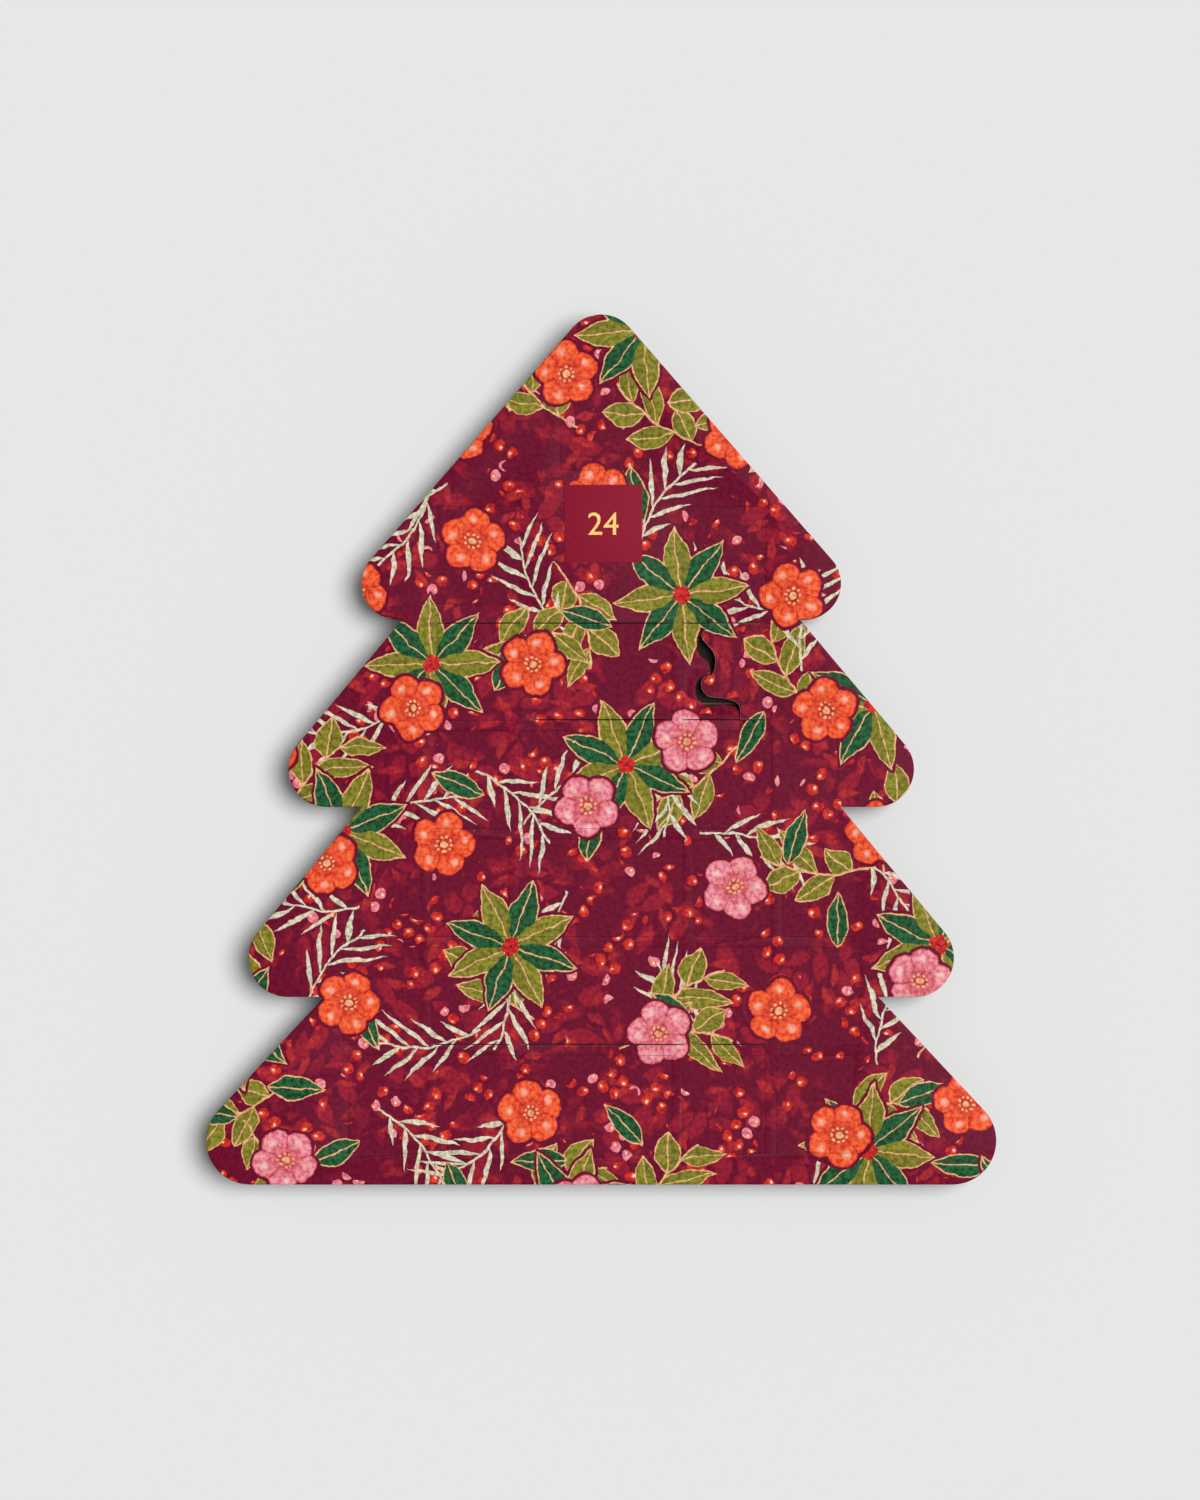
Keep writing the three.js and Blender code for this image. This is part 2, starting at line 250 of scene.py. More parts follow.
# %% Scatter group
scatter, given = new_group("scatter", ["Place", "Spacing", "Looseness"], ["Place", "Pick", "Other pick"])
place, spacing, looseness = given.outputs[:3]
density = add(scatter, "Math", [1.0, spacing], operation="DIVIDE")
found = {"Vector": place, "Scale": density, "Randomness": looseness}
cells = add(scatter, "TexVoronoi", found, voronoi_dimensions="2D")
local = add(scatter, "VectorMath", [place, cells.outputs["Position"]], operation="SUBTRACT")
luck = add(scatter, "SeparateColor", [cells.outputs["Color"]])
turn = add(scatter, "Math", [luck.outputs[0], 2 * math.pi], operation="MULTIPLY")
turned = add(scatter, "VectorRotate", {"Vector": local, "Angle": turn}, rotation_type="Z_AXIS")
add(scatter, "NodeGroupOutput", [turned, luck.outputs[1], luck.outputs[2]])
print("scatter:", len(scatter.nodes), "nodes")

# %% [markdown]
# ## The print, part 3: a spray
# A spray is a bent stem with a row of blades on each side. The plane is folded along the stem, then sheared along
# the blades' direction and cut into equal steps, so that every blade is drawn by the same blade group. The two
# sides are half a step apart, as they are on a real twig.

# %% Spray group
SPRAY_ANGLE = math.radians(40)
STEM_HALF = 0.45
STEM_PAST = 2.0  # how far the stem runs on past its last blades
OUT_OF_REACH = 9.0  # a distance that puts a missing blade outside everything

measures = ["Place", "Step", "Blade", "Breadth", "Stem", "Bend"]
spray, given = new_group("spray", measures, ["Distance", "Midrib", "Shade", "Stem"])
place, step, blade_length, breadth, stem_half, bend = given.outputs[:6]
xyz = add(spray, "SeparateXYZ", [place])
bow = add(spray, "Math", [xyz.outputs[0], xyz.outputs[0]], operation="MULTIPLY")
height = add(spray, "Math", [bow, bend, xyz.outputs[1]], operation="MULTIPLY_ADD")
side = add(spray, "Math", [height, 0.0], operation="GREATER_THAN")
half_step = add(spray, "Math", [side, 0.5], operation="MULTIPLY")
shift = add(spray, "Math", [half_step, step], operation="MULTIPLY")
fold = add(spray, "Math", [height], operation="ABSOLUTE")
root = add(spray, "Math", [fold, -1 / math.tan(SPRAY_ANGLE), xyz.outputs[0]], operation="MULTIPLY_ADD")
root_from = add(spray, "Math", [root, shift], operation="SUBTRACT")
root_share = add(spray, "Math", [root_from, step], operation="DIVIDE")
root_number = add(spray, "Math", [root_share], operation="ROUND")
root_at = add(spray, "Math", [root_number, step, shift], operation="MULTIPLY_ADD")
beyond = add(spray, "Math", [root_at], operation="ABSOLUTE")
# Blades get shorter towards the spray's two ends, and there are none past them
reach = add(spray, "Math", [beyond, stem_half], operation="DIVIDE")
waning = add(spray, "Math", [reach, -0.45, 1.0], operation="MULTIPLY_ADD")
exists = add(spray, "Math", [reach, 1.0], operation="LESS_THAN")
half_blade = add(spray, "Math", [blade_length, 0.5], operation="MULTIPLY")
half_long = add(spray, "Math", [half_blade, waning], operation="MULTIPLY")
from_root = add(spray, "Math", [xyz.outputs[0], root_at], operation="SUBTRACT")
corner = add(spray, "CombineXYZ", [from_root, fold])
flat = add(spray, "VectorRotate", {"Vector": corner, "Angle": -SPRAY_ANGLE}, rotation_type="Z_AXIS")
centred = add(spray, "CombineXYZ", [half_long])
in_blade = add(spray, "VectorMath", [flat, centred], operation="SUBTRACT")
half_broad = add(spray, "Math", [breadth, 0.5], operation="MULTIPLY")
one_blade = add(spray, "Group", [in_blade, half_long, half_broad], node_tree=blade)
missing = add(spray, "Math", [1.0, exists], operation="SUBTRACT")
distance = add(spray, "Math", [missing, OUT_OF_REACH, one_blade.outputs[0]], operation="MULTIPLY_ADD")
midrib = add(spray, "Math", [one_blade.outputs[1], exists], operation="MULTIPLY")
stem_end = add(spray, "Math", [stem_half, STEM_PAST], operation="ADD")
stem_far = add(spray, "Math", [xyz.outputs[0]], operation="ABSOLUTE")
stem_here = add(spray, "Math", [stem_far, stem_end], operation="LESS_THAN")
stem_thin = add(spray, "Math", [fold, STEM_HALF], operation="LESS_THAN")
stem = add(spray, "Math", [stem_here, stem_thin], operation="MULTIPLY")
add(spray, "NodeGroupOutput", [distance, midrib, one_blade.outputs[2], stem])
print("spray:", len(spray.nodes), "nodes")

# %% [markdown]
# ## The print, part 4: a star and a blossom
# Leaf stars and blossoms both repeat round a centre. Dividing the angle into equal sectors and turning each point
# back to the first sector leaves one leaf, or one petal, to draw.

# %% Sector group
sector, given = new_group("sector", ["Place", "Count"], ["Place", "Number"])
place, count = given.outputs[:2]
xyz = add(sector, "SeparateXYZ", [place])
angle = add(sector, "Math", [xyz.outputs[1], xyz.outputs[0]], operation="ARCTAN2")
width = add(sector, "Math", [2 * math.pi, count], operation="DIVIDE")
share = add(sector, "Math", [angle, width], operation="DIVIDE")
number = add(sector, "Math", [share], operation="ROUND")
back = add(sector, "Math", [number, width], operation="MULTIPLY")
turn_back = add(sector, "Math", [back, -1.0], operation="MULTIPLY")
first = add(sector, "VectorRotate", {"Vector": place, "Angle": turn_back}, rotation_type="Z_AXIS")
add(sector, "NodeGroupOutput", [first, number])
print("sector:", len(sector.nodes), "nodes")

# %% [markdown]
# ## The print, part 5: sheet and brush
# The sheet's places come from the object's own coordinates, turned to millimetres. On the walls the pattern carries
# on from the front's edge, because a place is pushed outwards along its normal by its depth under the front. A soft
# noise shakes the places by a millimetre or so, which makes every edge look brushed.

# %% Sheet and brush
SHAKE = 3.4  # between the noise's two ends

printed, tree = new_material("satin_printed_paper")
in_mm = places_in_mm(tree)
normal = add(tree, "TexCoord").outputs["Normal"]
depth_part = add(tree, "SeparateXYZ", [in_mm])
depth = add(tree, "Math", [FRONT / MM, depth_part.outputs[2]], operation="SUBTRACT")
outwards = add(tree, "VectorMath", {0: normal, 3: depth}, operation="SCALE")
unrolled = add(tree, "VectorMath", [in_mm, outwards], operation="ADD")
sheet = add(tree, "VectorMath", [unrolled, (1, 1, 0)], operation="MULTIPLY")

brush = {"Vector": sheet, "Scale": 0.1, "Detail": 4.0, "Roughness": 0.55}
shake = add(tree, "TexNoise", brush, noise_dimensions="2D")
shake_mid = add(tree, "VectorMath", [shake.outputs["Color"], (0.5, 0.5, 0.5)], operation="SUBTRACT")
shake_mm = add(tree, "VectorMath", [shake_mid, (SHAKE, SHAKE, 0)], operation="MULTIPLY")
painted = add(tree, "VectorMath", [sheet, shake_mm], operation="ADD")
bristles = {"Vector": sheet, "Scale": 0.5, "Detail": 4.0, "Roughness": 0.6}
strokes = add(tree, "TexNoise", bristles, noise_dimensions="2D")
stroke = add(tree, "MapRange", [strokes.outputs["Fac"], 0.36, 0.62, 0.0, 1.0])
clouds = add(tree, "TexNoise", {"Vector": sheet, "Scale": 0.035, "Detail": 3.0}, noise_dimensions="2D")
cloud = clouds.outputs["Fac"]
print("sheet and brush:", len(tree.nodes), "nodes")

# %% [markdown]
# ## The print, part 6: paints
# Each paint has a dark and a light shade, mixed by brush strokes two millimetres wide, which to the eye is what makes
# it paint and not flat ink. A mask says where it goes on, as a stencil does, and what is painted last lies on top.

# %% Paints
PAINT = {
    "ground": ("#640627", "#741030"),
    "dab": ("#84142e", "#9f1e32"),
    "ember": ("#a31e2c", "#c63833"),
    "olive": ("#6c6a1e", "#9a9334"),
    "green": ("#0f3d26", "#2c6b40"),
    "shadow": ("#1a240e", "#2c3014"),
    "outline": ("#cf8c5c", "#f4c28e"),
    "needle": ("#b5ad94", "#e8e2c8"),
    "orange": ("#e03a1c", "#fb7040"),
    "rose": ("#d65f78", "#f4a0a8"),
    "berry": ("#9a1020", "#dc3428"),
    "light": ("#ffd4b4", "#fff0e2"),
}
LEAF_OUTLINE = 0.6
LEAF_SHADE = 0.17  # how strongly its veins and lower half are dimmed


def scattered(spacing, looseness, offset, angle):
    """A motif's cells, on the sheet moved and turned so that no two layers line up."""
    inputs = {"Vector": painted, "Location": (*offset, 0), "Rotation": (0, 0, math.radians(angle))}
    moved = add(tree, "Mapping", inputs)
    return add(tree, "Group", [moved, spacing, looseness], node_tree=scatter)


def away_from(place, x=0.0, y=0.0):
    """How far a place lies from a point of its motif, or from its middle."""
    way = add(tree, "VectorMath", [place, (x, y, 0)], operation="SUBTRACT")
    return add(tree, "VectorMath", [way], operation="LENGTH").outputs["Value"]


def paint(under, mask, name):
    """Lays a paint over what is under it, as thickly as the mask says."""
    dark, light = PAINT[name]
    colour = add(tree, "Mix", {0: stroke, 6: linear(dark), 7: linear(light)}, data_type="RGBA")
    return add(tree, "Mix", {0: mask, 6: under, 7: colour}, data_type="RGBA")


def paint_leaf(under, shape, chosen, name):
    """A leaf with a gold outline and midrib, darker along its veins and on its lower half."""
    inside = add(tree, "Math", [shape.outputs[0], 0.0], operation="LESS_THAN")
    mask = add(tree, "Math", [inside, chosen], operation="MULTIPLY")
    outlined = paint(under, mask, "outline")
    core = add(tree, "Math", [shape.outputs[0], -LEAF_OUTLINE], operation="LESS_THAN")
    core = add(tree, "Math", [core, shape.outputs[1]], operation="SUBTRACT", use_clamp=True)
    core = add(tree, "Math", [core, mask], operation="MULTIPLY")
    filled = paint(outlined, core, name)
    dim = add(tree, "Math", [shape.outputs[2], core], operation="MULTIPLY")
    dim = add(tree, "Math", [dim, LEAF_SHADE], operation="MULTIPLY")
    return paint(filled, dim, "shadow")


print(len(PAINT), "paints")

# %% [markdown]
# ## The print, part 7: ground, dabs and berries
# The layers go on as a painter's would, from the back to the front. The wine ground gets soft crimson dabs in
# patches, then clusters of berries, each glowing towards a light spot.

# %% Ground, dabs and berries
# Paint, spacing, half length, half breadth and strength of each kind of dab
DABS = (("dab", 11.0, 8.0, 3.4, 1.0), ("ember", 13.0, 5.5, 1.9, 0.7))
BERRY_SPACING = 6.2
BERRY_RADIUS = 2.3
BERRY_SHARE, ROSY_SHARE = 0.55, 0.22

paper = paint(linear(PAINT["ground"][0]), 1.0, "ground")
patches = add(tree, "MapRange", [cloud, 0.44, 0.56, 0.0, 1.0])
for name, spacing, half_long, half_broad, strength in DABS:
    cells = scattered(spacing, 0.8, (3, 5), 20 + 3 * spacing)
    dab = add(tree, "Group", [cells.outputs[0], half_long, half_broad], node_tree=blade)
    soft = add(tree, "MapRange", [dab.outputs[0], 0.2, -0.7, 0.0, strength])
    mask = add(tree, "Math", [soft, patches], operation="MULTIPLY")
    paper = paint(paper, mask, name)

clusters = add(tree, "TexNoise", {"Vector": sheet, "Scale": 0.06, "Detail": 1.0}, noise_dimensions="2D")
clustered = add(tree, "Math", [clusters.outputs["Fac"], 0.53], operation="GREATER_THAN")
berries = scattered(BERRY_SPACING, 0.24, (11, -7), 35)
inside = add(tree, "Math", [away_from(berries.outputs[0]), BERRY_RADIUS], operation="LESS_THAN")
chosen = add(tree, "Math", [berries.outputs[1], BERRY_SHARE], operation="LESS_THAN")
mask = add(tree, "Math", [chosen, clustered], operation="MULTIPLY")
mask = add(tree, "Math", [mask, inside], operation="MULTIPLY")
paper = paint(paper, mask, "berry")
rosy = add(tree, "Math", [berries.outputs[2], 1 - ROSY_SHARE], operation="GREATER_THAN")
rosy = add(tree, "Math", [rosy, mask], operation="MULTIPLY")
paper = paint(paper, rosy, "rose")
from_spot = away_from(berries.outputs[0], 0.6, 0.8)
for name, near, rim, strength in (("orange", 0.5, 2.0, 0.65), ("light", 0.25, 0.75, 0.9)):
    glow = add(tree, "MapRange", [from_spot, near, rim, strength, 0.0])
    glow = add(tree, "Math", [glow, mask], operation="MULTIPLY")
    paper = paint(paper, glow, name)
print("ground layers:", len(tree.nodes), "nodes")

# %% [markdown]
# ## The print, part 8: sprays, twigs and leaves
# Olive sprays with gold outlines and frosted twigs share one set of wide cells, so that they seldom overlap, and
# three such sets fill the sheet. Single green leaves of 25 mm go between them.

# %% Sprays, twigs and leaves
# Step, blade, breadth, half of the stem, and bend, in the spray group's order
SPRAY = (15.0, 24.0, 10.0, 22.0, 0.009)
TWIG = (8.5, 24.0, 1.9, 20.0, 0.009)
SPRAY_SPACING = 82.0
SINGLE_SPACING = 40.0
SINGLE_LEAF = (12.5, 5.0)  # half length and half width
LEAFY_SHARE = 0.42

for offset, angle in (((27, 31), 17), ((-9, 44), 95), ((23, -19), 131)):
    cells = scattered(SPRAY_SPACING, 0.22, offset, angle)
    leafy = add(tree, "Math", [cells.outputs[1], LEAFY_SHARE], operation="LESS_THAN")
    leaves = add(tree, "Group", [cells.outputs[0], *SPRAY], node_tree=spray)
    paper = paint_leaf(paper, leaves, leafy, "olive")
    stem = add(tree, "Math", [leaves.outputs[3], leafy], operation="MULTIPLY")
    paper = paint(paper, stem, "outline")
    twig = add(tree, "Group", [cells.outputs[0], *TWIG], node_tree=spray)
    inside = add(tree, "Math", [twig.outputs[0], 0.0], operation="LESS_THAN")
    inside = add(tree, "Math", [inside, twig.outputs[3]], operation="MAXIMUM")
    mask = add(tree, "Math", [inside, leafy], operation="SUBTRACT", use_clamp=True)
    paper = paint(paper, mask, "needle")

singles = scattered(SINGLE_SPACING, 0.35, (-21, -17), 64)
single = add(tree, "Group", [singles.outputs[0], *SINGLE_LEAF], node_tree=blade)
chosen = add(tree, "Math", [singles.outputs[1], LEAFY_SHARE], operation="LESS_THAN")
paper = paint_leaf(paper, single, chosen, "green")
print("with leaves:", len(tree.nodes), "nodes")

# %% [markdown]
# ## The print, part 9: stars
# A star is eight leaves round a red heart, olive and green in turn. A rim of bare ground sets it off from what lies
# behind.

# %% Stars
STAR_SPACING = 84.0
STAR_SHARE = 0.66
STAR_LEAF = (14.0, 5.9)  # half length and half width
STAR_LEAF_AT = 15.6  # from the heart to the middle of a leaf
STAR_RIM = 1.3
HEART_AT, HEART_RADIUS = 2.3, 1.8

stars = scattered(STAR_SPACING, 0.24, (5, 13), 29)
starry = add(tree, "Math", [stars.outputs[1], STAR_SHARE], operation="LESS_THAN")
eighths = add(tree, "Group", [stars.outputs[0], 8.0], node_tree=sector)
star_place = add(tree, "VectorMath", [eighths.outputs[0], (STAR_LEAF_AT, 0, 0)], operation="SUBTRACT")
star = add(tree, "Group", [star_place, *STAR_LEAF], node_tree=blade)
rim = add(tree, "Math", [star.outputs[0], STAR_RIM], operation="LESS_THAN")
rim = add(tree, "Math", [rim, starry], operation="MULTIPLY")
paper = paint(paper, rim, "ground")
paper = paint_leaf(paper, star, starry, "green")
odd = add(tree, "Math", [eighths.outputs[1], 2.0], operation="FLOORED_MODULO")
even = add(tree, "Math", [odd, 0.5], operation="LESS_THAN")
even = add(tree, "Math", [even, starry], operation="MULTIPLY")
paper = paint_leaf(paper, star, even, "olive")

fifths = add(tree, "Group", [stars.outputs[0], 5.0], node_tree=sector)
from_heart = away_from(fifths.outputs[0], HEART_AT)
heart = add(tree, "Math", [from_heart, HEART_RADIUS], operation="LESS_THAN")
heart = add(tree, "Math", [heart, starry], operation="MULTIPLY")
paper = paint(paper, heart, "berry")
print("with stars:", len(tree.nodes), "nodes")

# %% [markdown]
# ## The print, part 10: blossoms
# Five petals overlap round a ring of stamens. A petal is a disc, deep red at its root and along its rim, with a
# soft light spot. Most blossoms are orange and some are rose.

# %% Blossoms
BLOSSOM_SPACING = 57.0
BLOSSOM_SHARE, ROSE_SHARE = 0.72, 0.26
PETAL_AT, PETAL_RADIUS = 7.6, 6.2
PETAL_RIM = 7.5  # how far the bare ground round a petal reaches
PETAL_BORDER = 5.7  # where its deep red border starts
STAMEN_AT, STAMEN_RADIUS = 3.0, 0.62
EYE_RADIUS = 1.5

blossoms = scattered(BLOSSOM_SPACING, 0.3, (-6, 24), 71)
from_middle = away_from(blossoms.outputs[0])
blooming = add(tree, "Math", [blossoms.outputs[1], BLOSSOM_SHARE], operation="LESS_THAN")
fifths = add(tree, "Group", [blossoms.outputs[0], 5.0], node_tree=sector)
from_petal = away_from(fifths.outputs[0], PETAL_AT)
for name, reach in (("ground", PETAL_RIM), ("orange", PETAL_RADIUS)):
    petal = add(tree, "Math", [from_petal, reach], operation="LESS_THAN")
    mask = add(tree, "Math", [petal, blooming], operation="MULTIPLY")
    paper = paint(paper, mask, name)
rosy = add(tree, "Math", [blossoms.outputs[2], 1 - ROSE_SHARE], operation="GREATER_THAN")
rosy = add(tree, "Math", [rosy, mask], operation="MULTIPLY")
paper = paint(paper, rosy, "rose")

# Deep red at the root of a petal, along its rim and where it meets the next one
root_glow = add(tree, "MapRange", [from_middle, 1.5, 8.5, 0.85, 0.0])
petal_parts = add(tree, "SeparateXYZ", [fifths.outputs[0]])
to_side = add(tree, "Math", [petal_parts.outputs[1]], operation="ABSOLUTE")
border = add(tree, "Math", [petal_parts.outputs[0], math.tan(math.pi / 5)], operation="MULTIPLY")
to_next = add(tree, "Math", [border, to_side], operation="SUBTRACT")
line = add(tree, "Math", [to_next, 0.5], operation="LESS_THAN")
outer = add(tree, "Math", [from_petal, PETAL_BORDER], operation="GREATER_THAN")
line = add(tree, "Math", [line, outer], operation="MAXIMUM")
line = add(tree, "Math", [line, 0.6], operation="MULTIPLY")
deep = add(tree, "Math", [line, root_glow], operation="MAXIMUM")
deep = add(tree, "Math", [deep, mask], operation="MULTIPLY")
paper = paint(paper, deep, "berry")
# A soft light spot beside its middle
from_gleam = away_from(fifths.outputs[0], PETAL_AT + 1.6, 1.4)
gleam = add(tree, "MapRange", [from_gleam, 0.4, 2.2, 0.5, 0.0])
gleam = add(tree, "Math", [gleam, mask], operation="MULTIPLY")
paper = paint(paper, gleam, "light")

ninths = add(tree, "Group", [blossoms.outputs[0], 9.0], node_tree=sector)
from_stamen = away_from(ninths.outputs[0], STAMEN_AT)
stamen = add(tree, "Math", [from_stamen, STAMEN_RADIUS], operation="LESS_THAN")
eye = add(tree, "Math", [from_middle, EYE_RADIUS], operation="LESS_THAN")
stamen = add(tree, "Math", [stamen, eye], operation="MAXIMUM")
stamen = add(tree, "Math", [stamen, blooming], operation="MULTIPLY")
paper = paint(paper, stamen, "outline")
print("with blossoms:", len(tree.nodes), "nodes")

# %% [markdown]
# ## The print, part 11: the paper itself
# The sheet is a linen-embossed paper with a satin varnish. Its threads are drawn 1.1 mm apart, twice as coarse as
# real ones, so that they show. The varnish is thin and its sheen is kept low, which to the eye keeps the wine ground
# deep and leaves the paint looking dry. The relief is in the shading only, since it is a few hundredths of a
# millimetre high.

# %% Printed paper
THREAD_SPACING = 1.1

across_threads = add(tree, "VectorMath", {0: sheet, 3: 2 * math.pi / THREAD_SPACING}, operation="SCALE")
waves = add(tree, "VectorMath", [across_threads], operation="SINE")
wave_parts = add(tree, "SeparateXYZ", [waves])
weave = add(tree, "Math", [wave_parts.outputs[0], wave_parts.outputs[1]], operation="MULTIPLY")
grain = add(tree, "TexNoise", {"Vector": sheet, "Scale": 0.9, "Detail": 2.0}, noise_dimensions="2D")
tooth = add(tree, "Math", [weave, 0.25, grain.outputs["Fac"]], operation="MULTIPLY_ADD")
relief = add(tree, "Bump", {"Height": tooth, "Strength": 0.25, "Distance": 0.05 * MM})
finish = {"Base Color": paper, "Roughness": 0.45, "Specular IOR Level": 0.06, "Normal": relief}
shader = add(tree, "BsdfPrincipled", finish)
add(tree, "OutputMaterial", [shader])
print("satin printed paper:", len(tree.nodes), "nodes")

# %% [markdown]
# ## Bare card and cut edges
# The case and the doors are folding boxboard: grey-white pulp with a printed sheet glued over it. Where the die cut
# it, and on its unprinted side, short fibres and a few darker specks show. To the eye they are what tells card from
# plastic. The cut edge is warmer than the flat side. Both come from one function, with their own two tones.

# %% Uncoated card and cut edge
def card(name, dark, light, speck_share):
    """Uncoated board: pulp clouds, fibres about 2 mm long and sparse specks."""
    material, tree = new_material(name)
    in_mm = places_in_mm(tree)
    pulp = add(tree, "TexNoise", {"Vector": in_mm, "Scale": 0.22, "Detail": 5.0, "Roughness": 0.65})
    stretched = add(tree, "Mapping", {"Vector": in_mm, "Scale": (0.5, 3.2, 3.2), "Rotation": (0, 0, 0.3)})
    fibres = add(tree, "TexNoise", {"Vector": stretched, "Scale": 0.8, "Detail": 3.0, "Distortion": 1.2})
    mixed = add(tree, "Math", [pulp.outputs["Fac"], fibres.outputs["Fac"]], operation="ADD")
    base = two_tones(tree, mixed, 0.75, 1.25, dark, light)
    spots = add(tree, "TexVoronoi", {"Vector": in_mm, "Scale": 0.45})
    near = add(tree, "Math", [spots.outputs["Distance"], 0.09], operation="LESS_THAN")
    luck = add(tree, "SeparateColor", [spots.outputs["Color"]])
    rare = add(tree, "Math", [luck.outputs[0], speck_share], operation="LESS_THAN")
    speck = add(tree, "Math", [near, rare], operation="MULTIPLY")
    speck = add(tree, "Math", [speck, 0.5], operation="MULTIPLY")
    base = add(tree, "Mix", {0: speck, 6: base, 7: linear("#7c6f5c")}, data_type="RGBA")
    relief = add(tree, "Bump", {"Height": mixed, "Strength": 0.3, "Distance": 0.06 * MM})
    finish = {"Base Color": base, "Roughness": 0.88, "Specular IOR Level": 0.25, "Normal": relief}
    shader = add(tree, "BsdfPrincipled", finish)
    add(tree, "OutputMaterial", [shader])
    return material


bare_card = card("uncoated_boxboard", "#beb5a6", "#d3ccbf", 0.25)
cut_edge = card("cut_boxboard_edge", "#b39c8c", "#d9c9b8", 0.1)
print("two kinds of card")

# %% [markdown]
# ## Pieces from the solids
# A finished piece could be built anew, but a copy of its solid is sure to fit. The copy's loose triangles are merged
# and its flat faces joined, and then its edges are rounded. Another helper turns a finished bmesh into a piece: it
# stands for the solid, gets its materials and rides on the body that the solid belongs to.

# %% Copying solids and finishing pieces
MERGE = 0.003 * MM
FLAT_ANGLE = math.radians(0.4)
LEVEL = 0.9999


def copy_of(node):
    """A bmesh copy of a solid, its triangles merged and its flat faces joined."""
    bm = bmesh.new()
    bm.from_mesh(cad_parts[node].data)
    bmesh.ops.remove_doubles(bm, verts=bm.verts, dist=MERGE)
    bmesh.ops.dissolve_limit(bm, angle_limit=FLAT_ANGLE, verts=bm.verts, edges=bm.edges)
    bm.normal_update()
    return bm


def piece(name, bm, body, materials, stands_for=(), sharp=35, bent=False):
    """Turns a bmesh into a piece of the calendar. Level faces are shaded flat, unless the piece is bent."""
    data = bpy.data.meshes.new(name)
    bm.normal_update()
    for face in bm.faces:
        face.smooth = bent or abs(face.normal.z) < LEVEL
    bm.to_mesh(data)
    bm.free()
    data.set_sharp_from_angle(angle=math.radians(sharp))
    made = bpy.data.objects.new(name, data)
    bpy.context.scene.collection.objects.link(made)
    for material in materials:
        data.materials.append(material)
    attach(made, body)
    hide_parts(*stands_for)
    return made


def round_edges(bm, edges, width, segments):
    """Rounds edges by a width in metres."""
    return bmesh.ops.bevel(
        bm,
        geom=list(edges),
        offset=width,
        offset_type="OFFSET",
        segments=segments,
        profile=0.5,
        affect="EDGES",
        material=-1,
        clamp_overlap=True,
    )["faces"]


print("helpers ready")

# %% [markdown]
# ## Front panel
# The front is one die-cut board, 1.2 mm thick. Its outer edge is rounded where the printed paper is pulled round it,
# and that rounding is already in the solid. A die pushes the paper down a little as it cuts, so each window's rim
# gets a rounding of its own, a tenth of a millimetre wide. A Bevel modifier would round the outer edge a second
# time, so only the rims are picked. They are what makes the closed doors' outlines show.

# %% Front panel
RIM = 0.09 * MM
RIM_STEPS = 2
PAPER_TURN_IN = 0.6 * MM
PRINTED, CUT, BARE = range(3)
BOARD = [printed, cut_edge, bare_card]


def is_flat_top(face):
    return face.normal.z > 0.999 and face.calc_center_median().z > FRONT - 0.01 * MM


def is_upright(face):
    return abs(face.normal.z) < 0.01


panel = copy_of("front_panel")
rims = []
for edge in panel.edges:
    faces = edge.link_faces
    if len(faces) == 2 and sum(map(is_flat_top, faces)) == 1 and sum(map(is_upright, faces)) == 1:
        rims.append(edge)
round_edges(panel, rims, RIM, RIM_STEPS)
board_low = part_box("front_panel")[0].z
for face in panel.faces:
    cut = is_upright(face) and max(v.co.z for v in face.verts) > board_low + PAPER_TURN_IN
    face.material_index = CUT if cut else BARE if face.normal.z < -0.9 else PRINTED
front_panel = piece("front_board", panel, "case", BOARD, ["front_panel"])
print(f"front board: {len(rims)} rim edges rounded, {len(front_panel.data.polygons)} faces")

# %% [markdown]
# ## Doors, part 1: cuts and creases
# Each door is cut on three sides and creased on its left. The solids leave the same gap all round, so the doors'
# sides are moved out until the seams are as wide as they look: the crease is nearly closed, most cuts leave a tenth
# of a millimetre, and the level cuts that show as dark lines leave half a millimetre. Card bends, so a door needs
# points to bend with. Cutting it along a grid gives them and, unlike a Subdivision Surface modifier, leaves its
# corners square.

# %% Cuts and creases
OPEN_SEAMS = {"07": "foot", "08": "foot", "09": "foot", "19": "top", "20": "foot top", "24": "foot top"}
CREASE_SEAM = 0.04 * MM
FINE_SEAM = 0.1 * MM
OPEN_SEAM = 0.48 * MM
CUT_GAP = 0.3 * MM
# The seams on the left and the right, for a whole door and for a left and a right leaf
SIDE_SEAMS = {"": (CREASE_SEAM, FINE_SEAM), "left": (CREASE_SEAM, CUT_GAP), "right": (CUT_GAP, CREASE_SEAM)}
SAME_PLACE = 1e-6


def slice_grid(bm, low, high, step):
    """Cuts a board into a grid of about the given step."""
    for axis in (0, 1):
        count = max(2, round((high[axis] - low[axis]) / step))
        normal = Vector((1, 0, 0)) if axis == 0 else Vector((0, 1, 0))
        for i in range(1, count):
            point = low.copy()
            point[axis] += (high[axis] - low[axis]) * i / count
            geom = bm.verts[:] + bm.edges[:] + bm.faces[:]
            bmesh.ops.bisect_plane(bm, geom=geom, plane_co=point, plane_no=normal, dist=SAME_PLACE / 10)


